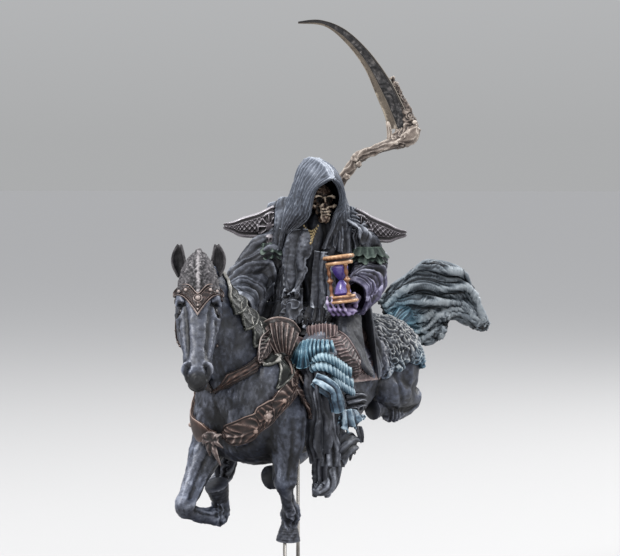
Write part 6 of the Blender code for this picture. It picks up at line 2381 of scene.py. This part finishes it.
SCYTHE_ORIGIN = vec(15.7, 28.3, 0)
SCYTHE_TOP = 151.5
BLADE_BACK = [
    (-29.5, SCYTHE_TOP - 0.4), (-24, SCYTHE_TOP), (-17.8, 149.2), (-11.6, 143.6), (-6.2, 136.2),
    (-2.8, 129.6), (-0.2, 124.4),
]
BLADE_EDGE = [
    (-29.5, SCYTHE_TOP - 0.9), (-22.8, 149.9), (-17.4, 145.6), (-12.8, 139.4), (-9.6, 132), (-7.8, 127.6),
    (-6.8, 124),
]
SHAFT = [
    (0.3, 124.8, 0), (-1.4, 122.4, 0), (-4.4, 120.9, 0), (-9.4, 119, 0.8), (-13.6, 117.4, 1.6),
    (-16, 114.4, 1.8), (-19.2, 109.8, 2), (-23, 97, 2.6), (-24.6, 84, 3), (-25, 73.5, 3),
]
SHAFT_RADII = [1.5, 2.3, 1.8, 1.3, 1.5, 1.35, 1.3, 1.2, 1.25, 1.1]


def on_plane(right, height, back=0.0):
    """A place in the scythe's plane, some way behind it."""
    place = SCYTHE_ORIGIN + np.multiply.outer(right, PLANE_RIGHT)
    return place + np.multiply.outer(height, UP) - np.multiply.outer(back, PLANE_FRONT)


def blade_form():
    """A crescent with a raised spine, an etched flat and a broad ground bevel."""
    u = np.linspace(0, 1, 160)
    v = np.linspace(0, 1, 46)
    back, edge = spline(BLADE_BACK, u), spline(BLADE_EDGE, u)
    flat = back[:, None] + (edge - back)[:, None] * v[None, :, None]
    uu, vv = np.meshgrid(u, v, indexing="ij")
    middle = on_plane(flat[..., 0], flat[..., 1])
    thick = (0.25 + 0.45 * np.minimum(1, 3 * uu)) * np.where(vv < 0.64, 1.0, 1 - 0.78 * (vv - 0.64) / 0.36)
    spine = 0.22 * (1 - step(0.06, 0.1, vv))
    etch = (
        0.16 * np.clip(rough(middle, 1.3, 4), -1, 0.6) + 0.08 * ridges(9 * noise(middle, 2.2, 3))
    ) * step(0.12, 0.16, vv) * (1 - step(0.58, 0.62, vv))
    line = -0.1 * np.exp(-(((vv - 0.64) / 0.02) ** 2))
    out = thick + (spine + line) * np.minimum(1, 4 * uu) + etch * step(0.1, 0.45, uu)
    front = middle + PLANE_FRONT * out[..., None]
    rear = middle - PLANE_FRONT * out[..., None]
    count = uu.size
    faces = grid_faces(160, 46, False)
    index = np.arange(count).reshape(160, 46)
    border = np.concatenate([index[:, 0], index[-1, 1:], index[-2::-1, -1], index[0, -2:0:-1]])
    beside = np.roll(border, -1)
    wall = np.stack([border, border + count, beside + count, beside], -1)
    form = Form(
        np.concatenate([front.reshape(-1, 3), rear.reshape(-1, 3)]),
        np.concatenate([faces, faces[:, ::-1] + count, wall]),
    )
    form.marks["bevel"] = np.tile(step(0.62, 0.66, vv).ravel(), 2)
    # paler along the back rim: a painted highlight on the blade's spine
    form.marks["back_rim"] = np.tile((1 - step(0.05, 0.11, vv)).ravel(), 2)
    return form.facing_out()


def build_scythe():
    """The blade, the twisted shaft with its knobs, and the heel."""
    steel = paint(
        "blade_paint",
        {
            None: [(4, 3, 4), (20, 19, 21), (48, 46, 47), (98, 94, 92), (160, 154, 148)],
            "bevel": [(30, 24, 20), (76, 68, 60), (112, 102, 90), (150, 140, 124), (196, 188, 168)],
            # painted highlight along the back rim
            "back_rim": [(30, 26, 24), (84, 78, 72), (124, 118, 110), (160, 152, 142), (200, 194, 182)],
        },
        roughness=0.4,
        metallic=0.35,
        specular=0.5,
    )
    piece("scythe_blade", blade_form(), steel, "scythe_paint", "scythe", fine=0.05, base=0.4, light=0.05)
    bone = paint(
        "shaft_paint",
        {None: [(6, 3, 2), (30, 22, 19), (70, 60, 54), (118, 107, 99), (182, 171, 160)]},
        roughness=0.55,
    )
    rows = [(on_plane(*place), r, r) for place, r in zip(SHAFT, SHAFT_RADII)]

    def bark(s, a, p):
        twist = 3 * a + 26 * s + 1.5 * noise(p, 2.0)
        knots = 0.5 * np.clip(noise(p, 2.6, 6) - 0.35, 0, 1)
        return 0.2 * ridges(twist) + 0.08 * ridges(7 * a - 30 * s + 2 * noise(p, 1.0)) + knots

    forms = [tube(rows, side=PLANE_FRONT, rings=260, sides=64, relief=bark)]
    for right, height, size in ((-15.2, 116.8, 1.1), (-14.2, 115.2, 0.9), (-17.2, 112.0, 0.9)):
        knob = ball(on_plane(right, height, -0.3), (size, size * 0.8, size), sides=40)
        forms.append(knob.lift(0.22 * noise(knob.points, 0.7)))
    piece("scythe_shaft", joined(forms), bone, "scythe_paint", fine=0.06, base=0.46)
    piece("scythe_heel", scythe_heel(), bone, "scythe_paint", fine=0.06, base=0.4)


def scythe_heel():
    """The gnarled heel that grips the blade, with its strut and lashing."""
    stations = [
        (on_plane(-5.4, 120.6), 1.8, 1.8), (on_plane(-3.2, 121.8), 1.9, 2.5),
        (on_plane(-1.3, 124), 1.5, 2.1), (on_plane(-1.9, 128), 1.05, 1.5),
        (on_plane(-3.7, 132.5), 0.85, 1.0), (on_plane(-6.0, 137.2), 0.6, 0.5),
    ]

    def gnarl(s, a, p):
        return 0.4 * np.clip(rough(p, 1.5, 5), -0.7, 1) + 0.16 * ridges(12 * noise(p, 1.6, 2))

    forms = [
        tube(stations, side=PLANE_FRONT, rings=110, sides=90, relief=gnarl),
        tube(
            [
                (on_plane(-6.9, 126), 0.45, 0.45), (on_plane(-6.4, 123), 0.6, 0.6),
                (on_plane(-6.6, 119.6), 0.55, 0.55),
            ],
            rings=50,
            sides=20,
            relief=lambda s, a, p: 0.12 * ridges(5 * a),
        ),
        tube([(on_plane(-4.2, 125.8), 0.3, 0.3), (on_plane(-5.0, 122.4), 0.4, 0.4)], rings=20, sides=12),
    ]
    for k in range(12):
        angle, turn = 1.7 * k, 0.7 * k
        spot = on_plane(-4.8 + 0.42 * k, 120.6 + 0.34 * k, 0)
        forms.append(
            ball(
                spot + PLANE_FRONT * 1.7 * math.cos(angle) + UP * 1.4 * math.sin(turn),
                (0.6, 0.6, 0.6),
                sides=12,
            )
        )
    return joined(forms)


# The hourglass


GLASS_TOP, GLASS_FOOT = vec(12.8, -1.8, 92.9), vec(14.2, -1.2, 81.2)


def build_hourglass():
    """Two turned end plates, three posts and the violet bulbs, held upright in the left hand."""
    height = float(np.linalg.norm(GLASS_TOP - GLASS_FOOT))
    rise = unit(GLASS_TOP - GLASS_FOOT)
    across = unit(PLANE_RIGHT - rise * (PLANE_RIGHT @ rise))
    axes = (across, np.cross(rise, across), rise)
    copper = paint(
        "copper_paint",
        {None: [(6, 2, 1), (34, 15, 8), (74, 41, 25), (118, 78, 52), (188, 150, 114)]},
        roughness=0.45,
        metallic=0.12,
        specular=0.5,
    )
    top, low = height - 2.4, 1.9
    disc = [
        (0.05, top), (3.1, top), (3.35, top + 0.2), (3.35, top + 0.7), (3.0, top + 0.95), (3.0, top + 1.2),
        (3.6, top + 1.45), (3.85, top + 1.75), (3.85, top + 2.1), (3.6, top + 2.4), (2.9, top + 2.42),
        (2.7, top + 2.25), (0.05, top + 2.25),
    ]
    foot = [
        (0.05, 0), (3.3, 0), (3.6, 0.25), (3.6, 0.6), (3.2, 0.85), (3.0, 1.1), (3.1, 1.4), (3.1, 1.75),
        (2.9, 1.9), (0.05, 1.9),
    ]

    def beads(z, a):
        upper, lower = (z > top + 1.4) & (z < top + 2.2), (z > 0.2) & (z < 0.7)
        return 0.05 * ridges(22 * a) * upper + 0.04 * ridges(22 * a) * lower

    forms = [turned(disc, 132, beads), turned(foot, 132, beads)]
    for k in range(3):
        angle = math.radians(-60 + 120 * k)
        post = []
        for i in range(61):
            t = i / 60
            swell = (
                0.42
                + 0.16 * math.cos(4 * TURN * t) * (1 - abs(2 * t - 1))
                + 0.2 * math.exp(-(((t - 0.5) / 0.07) ** 2))
                + 0.22 * math.exp(-((t / 0.06) ** 2))
                + 0.22 * math.exp(-(((1 - t) / 0.06) ** 2))
            )
            post.append((swell, low + (top - low) * t))
        form = turned(post, 20)
        form.points = form.points + vec(2.75 * math.cos(angle), 2.75 * math.sin(angle), 0)
        forms.append(form)
    frame_form = moved(joined(forms), GLASS_FOOT, axes)
    piece("hourglass_frame", frame_form, copper, "copper_paint", "hourglass", fine=0.08, base=0.38, light=0.1)
    bulbs = []
    for i in range(61):
        t = i / 60
        waist = 0.36 + 1.75 * abs(math.cos(math.pi * t)) ** 0.75 * min(1.0, 8 * min(t, 1 - t) + 0.45)
        bulbs.append((waist, low + (top - low) * t))
    glass = moved(turned(bulbs, 48), GLASS_FOOT, axes)
    violet = paint(
        "bulb_paint",
        {None: [(3, 2, 8), (20, 15, 36), (47, 38, 78), (92, 82, 132), (176, 168, 208)]},
        roughness=0.28,
        coat=0.2,
        # painted glow: the bulbs give off violet light though they are no lamp
        glow=((96, 70, 200), 0.12),
        bump=0.03,
    )
    piece("hourglass_bulbs", glass, violet, "copper_paint", base=0.4, light=0.3, fine=0.2)


# Plinth and rods


def build_plinth():
    """Black stained wood with its turning lines, under a satin lacquer."""
    material = bpy.data.materials.new("plinth_lacquer")
    material.use_nodes = True
    nodes, links = material.node_tree.nodes, material.node_tree.links
    shader = nodes["Principled BSDF"]
    shader.inputs["Coat Weight"].default_value = 0.35
    shader.inputs["Coat Roughness"].default_value = 0.18
    place = nodes.new("ShaderNodeTexCoord")
    stretch = nodes.new("ShaderNodeMapping")
    stretch.inputs["Scale"].default_value = (18, 160, 160)
    links.new(place.outputs["Object"], stretch.inputs["Vector"])
    grain = nodes.new("ShaderNodeTexNoise")
    grain.inputs["Scale"].default_value = 6
    grain.inputs["Detail"].default_value = 8
    links.new(stretch.outputs["Vector"], grain.inputs["Vector"])
    ramp = nodes.new("ShaderNodeValToRGB")
    ramp.color_ramp.elements[0].position = 0.35
    ramp.color_ramp.elements[0].color = colour(14, 11, 10)
    ramp.color_ramp.elements[1].position = 0.7
    ramp.color_ramp.elements[1].color = colour(46, 35, 29)
    links.new(grain.outputs["Fac"], ramp.inputs["Fac"])
    links.new(ramp.outputs["Color"], shader.inputs["Base Color"])
    gloss = nodes.new("ShaderNodeMapRange")
    gloss.inputs["To Min"].default_value = 0.28
    gloss.inputs["To Max"].default_value = 0.44
    links.new(grain.outputs["Fac"], gloss.inputs["Value"])
    links.new(gloss.outputs["Result"], shader.inputs["Roughness"])
    bump = nodes.new("ShaderNodeBump")
    bump.inputs["Strength"].default_value = 0.12
    bump.inputs["Distance"].default_value = 0.1 * MM
    links.new(grain.outputs["Fac"], bump.inputs["Height"])
    links.new(bump.outputs["Normal"], shader.inputs["Normal"])
    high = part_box("plinth")[1]
    radius, top = high.x / MM, high.z / MM
    form = turned(plinth_profile(radius, top), 160)
    piece("plinth_turning", form, material, "plinth_wood", "plinth", tone=np.zeros(len(form.points)))
    obj = bpy.data.objects["plinth_turning"]
    obj.data.set_sharp_from_angle(angle=math.radians(50))


def plinth_profile(radius, top):
    """The plinth's turned outline, from the axis below to the axis above."""
    inner, cove = radius - 3, []
    for k in range(13):
        turn = math.pi / 2 * k / 12
        cove.append((inner - 0.6 + 3 * (1 - math.cos(turn)), top * (0.78 - 0.42 * math.sin(turn))))
    profile = [
        (0.05, top), (inner - 0.6, top), (inner - 0.18, top - 0.15), (inner, top - 0.6), (inner, top * 0.8),
        *cove,
    ]
    profile += [
        (radius - 0.25, top * 0.325), (radius, top * 0.28), (radius, 0.6), (radius - 0.18, 0.15),
        (radius - 0.6, 0), (0.05, 0),
    ]
    return profile[::-1]


def dress_rods():
    """Drawn steel: fine lines along the rod and a little darkening."""
    material = bpy.data.materials.new("rod_steel")
    material.use_nodes = True
    nodes, links = material.node_tree.nodes, material.node_tree.links
    shader = nodes["Principled BSDF"]
    shader.inputs["Metallic"].default_value = 1.0
    place = nodes.new("ShaderNodeTexCoord")
    stretch = nodes.new("ShaderNodeMapping")
    stretch.inputs["Scale"].default_value = (9000, 9000, 300)
    links.new(place.outputs["Object"], stretch.inputs["Vector"])
    lines = nodes.new("ShaderNodeTexNoise")
    lines.inputs["Scale"].default_value = 1
    lines.inputs["Detail"].default_value = 3
    links.new(stretch.outputs["Vector"], lines.inputs["Vector"])
    ramp = nodes.new("ShaderNodeValToRGB")
    ramp.color_ramp.elements[0].color = colour(150, 146, 140)
    ramp.color_ramp.elements[1].color = colour(214, 210, 204)
    links.new(lines.outputs["Fac"], ramp.inputs["Fac"])
    links.new(ramp.outputs["Color"], shader.inputs["Base Color"])
    gloss = nodes.new("ShaderNodeMapRange")
    gloss.inputs["To Min"].default_value = 0.16
    gloss.inputs["To Max"].default_value = 0.34
    links.new(lines.outputs["Fac"], gloss.inputs["Value"])
    links.new(gloss.outputs["Result"], shader.inputs["Roughness"])
    for node in ("belly_rod", "hoof_rod"):
        low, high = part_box(node)
        x, y, r = (low.x + high.x) / 2 / MM, (low.y + high.y) / 2 / MM, (high.x - low.x) / 2 / MM
        rod = turned(
            [
                (r - 0.08, low.z / MM), (r, low.z / MM + 0.1), (r, high.z / MM - 0.1),
                (r - 0.08, high.z / MM),
            ],
            40,
        )
        rod.points = rod.points + vec(x, y, 0)
        piece(node + "_steel", rod, material, "rod_steel", node, tone=np.zeros(len(rod.points)))


# Camera, floor and light


CAMERA_PLACE = vec(370.7, -524.9, 109.4)
CAMERA_TARGET = vec(-1.87, 7.19, 86.74)
LENS = 151
SENSOR_WIDTH = 36
FLOOR_HALF_METRES = 60.0
FLOOR_SHADE = (0.5, 0.495, 0.49, 1)
SKY = ((0.02, (0.41, 0.415, 0.42, 1)), (0.6, (0.9, 0.92, 0.96, 1)))
LIGHTS_AIM = (0, 0, 0.085)
LIGHTS = [
    ("key_light", (-0.12, -0.7, 0.8), 0.4, 11),
    ("fill_light", (0.8, -0.3, 0.35), 0.6, 2.5),
    ("rim_light", (0.3, 0.7, 0.6), 0.4, 5.5),
]


def set_camera():
    """The photo's viewpoint and framing."""
    data = bpy.data.cameras.new("camera")
    data.lens = LENS
    data.sensor_width = SENSOR_WIDTH
    data.clip_start = 0.01
    camera = bpy.data.objects.new("camera", data)
    camera.location = CAMERA_PLACE * MM
    look = Vector(CAMERA_TARGET - CAMERA_PLACE)
    camera.rotation_euler = look.to_track_quat("-Z", "Y").to_euler()
    bpy.context.scene.collection.objects.link(camera)
    bpy.context.scene.camera = camera


def set_stage():
    """A pale floor under an evenly pale sky, a soft key light, a wide fill and a rim light."""
    half, ground = FLOOR_HALF_METRES, bpy.data.meshes.new("floor")
    ground.from_pydata(
        [(-half, -half, 0), (half, -half, 0), (half, half, 0), (-half, half, 0)], [], [(0, 1, 2, 3)]
    )
    floor = bpy.data.objects.new("floor", ground)
    bpy.context.scene.collection.objects.link(floor)
    material = bpy.data.materials.new("floor_matt")
    material.use_nodes = True
    shader = material.node_tree.nodes["Principled BSDF"]
    shader.inputs["Base Color"].default_value = FLOOR_SHADE
    shader.inputs["Roughness"].default_value = 1.0
    shader.inputs["Specular IOR Level"].default_value = 0.0
    ground.materials.append(material)
    world = bpy.data.worlds.new("studio")
    bpy.context.scene.world = world
    world.use_nodes = True
    nodes, links = world.node_tree.nodes, world.node_tree.links
    direction = nodes.new("ShaderNodeTexCoord")
    split = nodes.new("ShaderNodeSeparateXYZ")
    ramp = nodes.new("ShaderNodeValToRGB")
    links.new(direction.outputs["Generated"], split.inputs["Vector"])
    links.new(split.outputs["Z"], ramp.inputs["Fac"])
    links.new(ramp.outputs["Color"], nodes["Background"].inputs["Color"])
    for stop, (where, shade) in zip(ramp.color_ramp.elements, SKY):
        stop.position = where
        stop.color = shade
    nodes["Background"].inputs["Strength"].default_value = 1.0
    for name, place, size, power in LIGHTS:
        light = bpy.data.lights.new(name, "AREA")
        light.energy = power
        light.size = size
        obj = bpy.data.objects.new(name, light)
        obj.location = place
        aim = Vector(LIGHTS_AIM) - Vector(place)
        obj.rotation_euler = aim.to_track_quat("-Z", "Y").to_euler()
        bpy.context.scene.collection.objects.link(obj)
    bpy.context.scene.view_settings.view_transform = "Standard"


def main():
    set_camera()
    set_stage()
    skin, head_skin = build_horse()
    build_head_details(head_skin)
    build_neck_harness(skin)
    build_saddle(skin)
    build_tail()
    build_rider()
    build_pauldrons()
    build_scythe()
    build_hourglass()
    build_plinth()
    dress_rods()
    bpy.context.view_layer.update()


main()
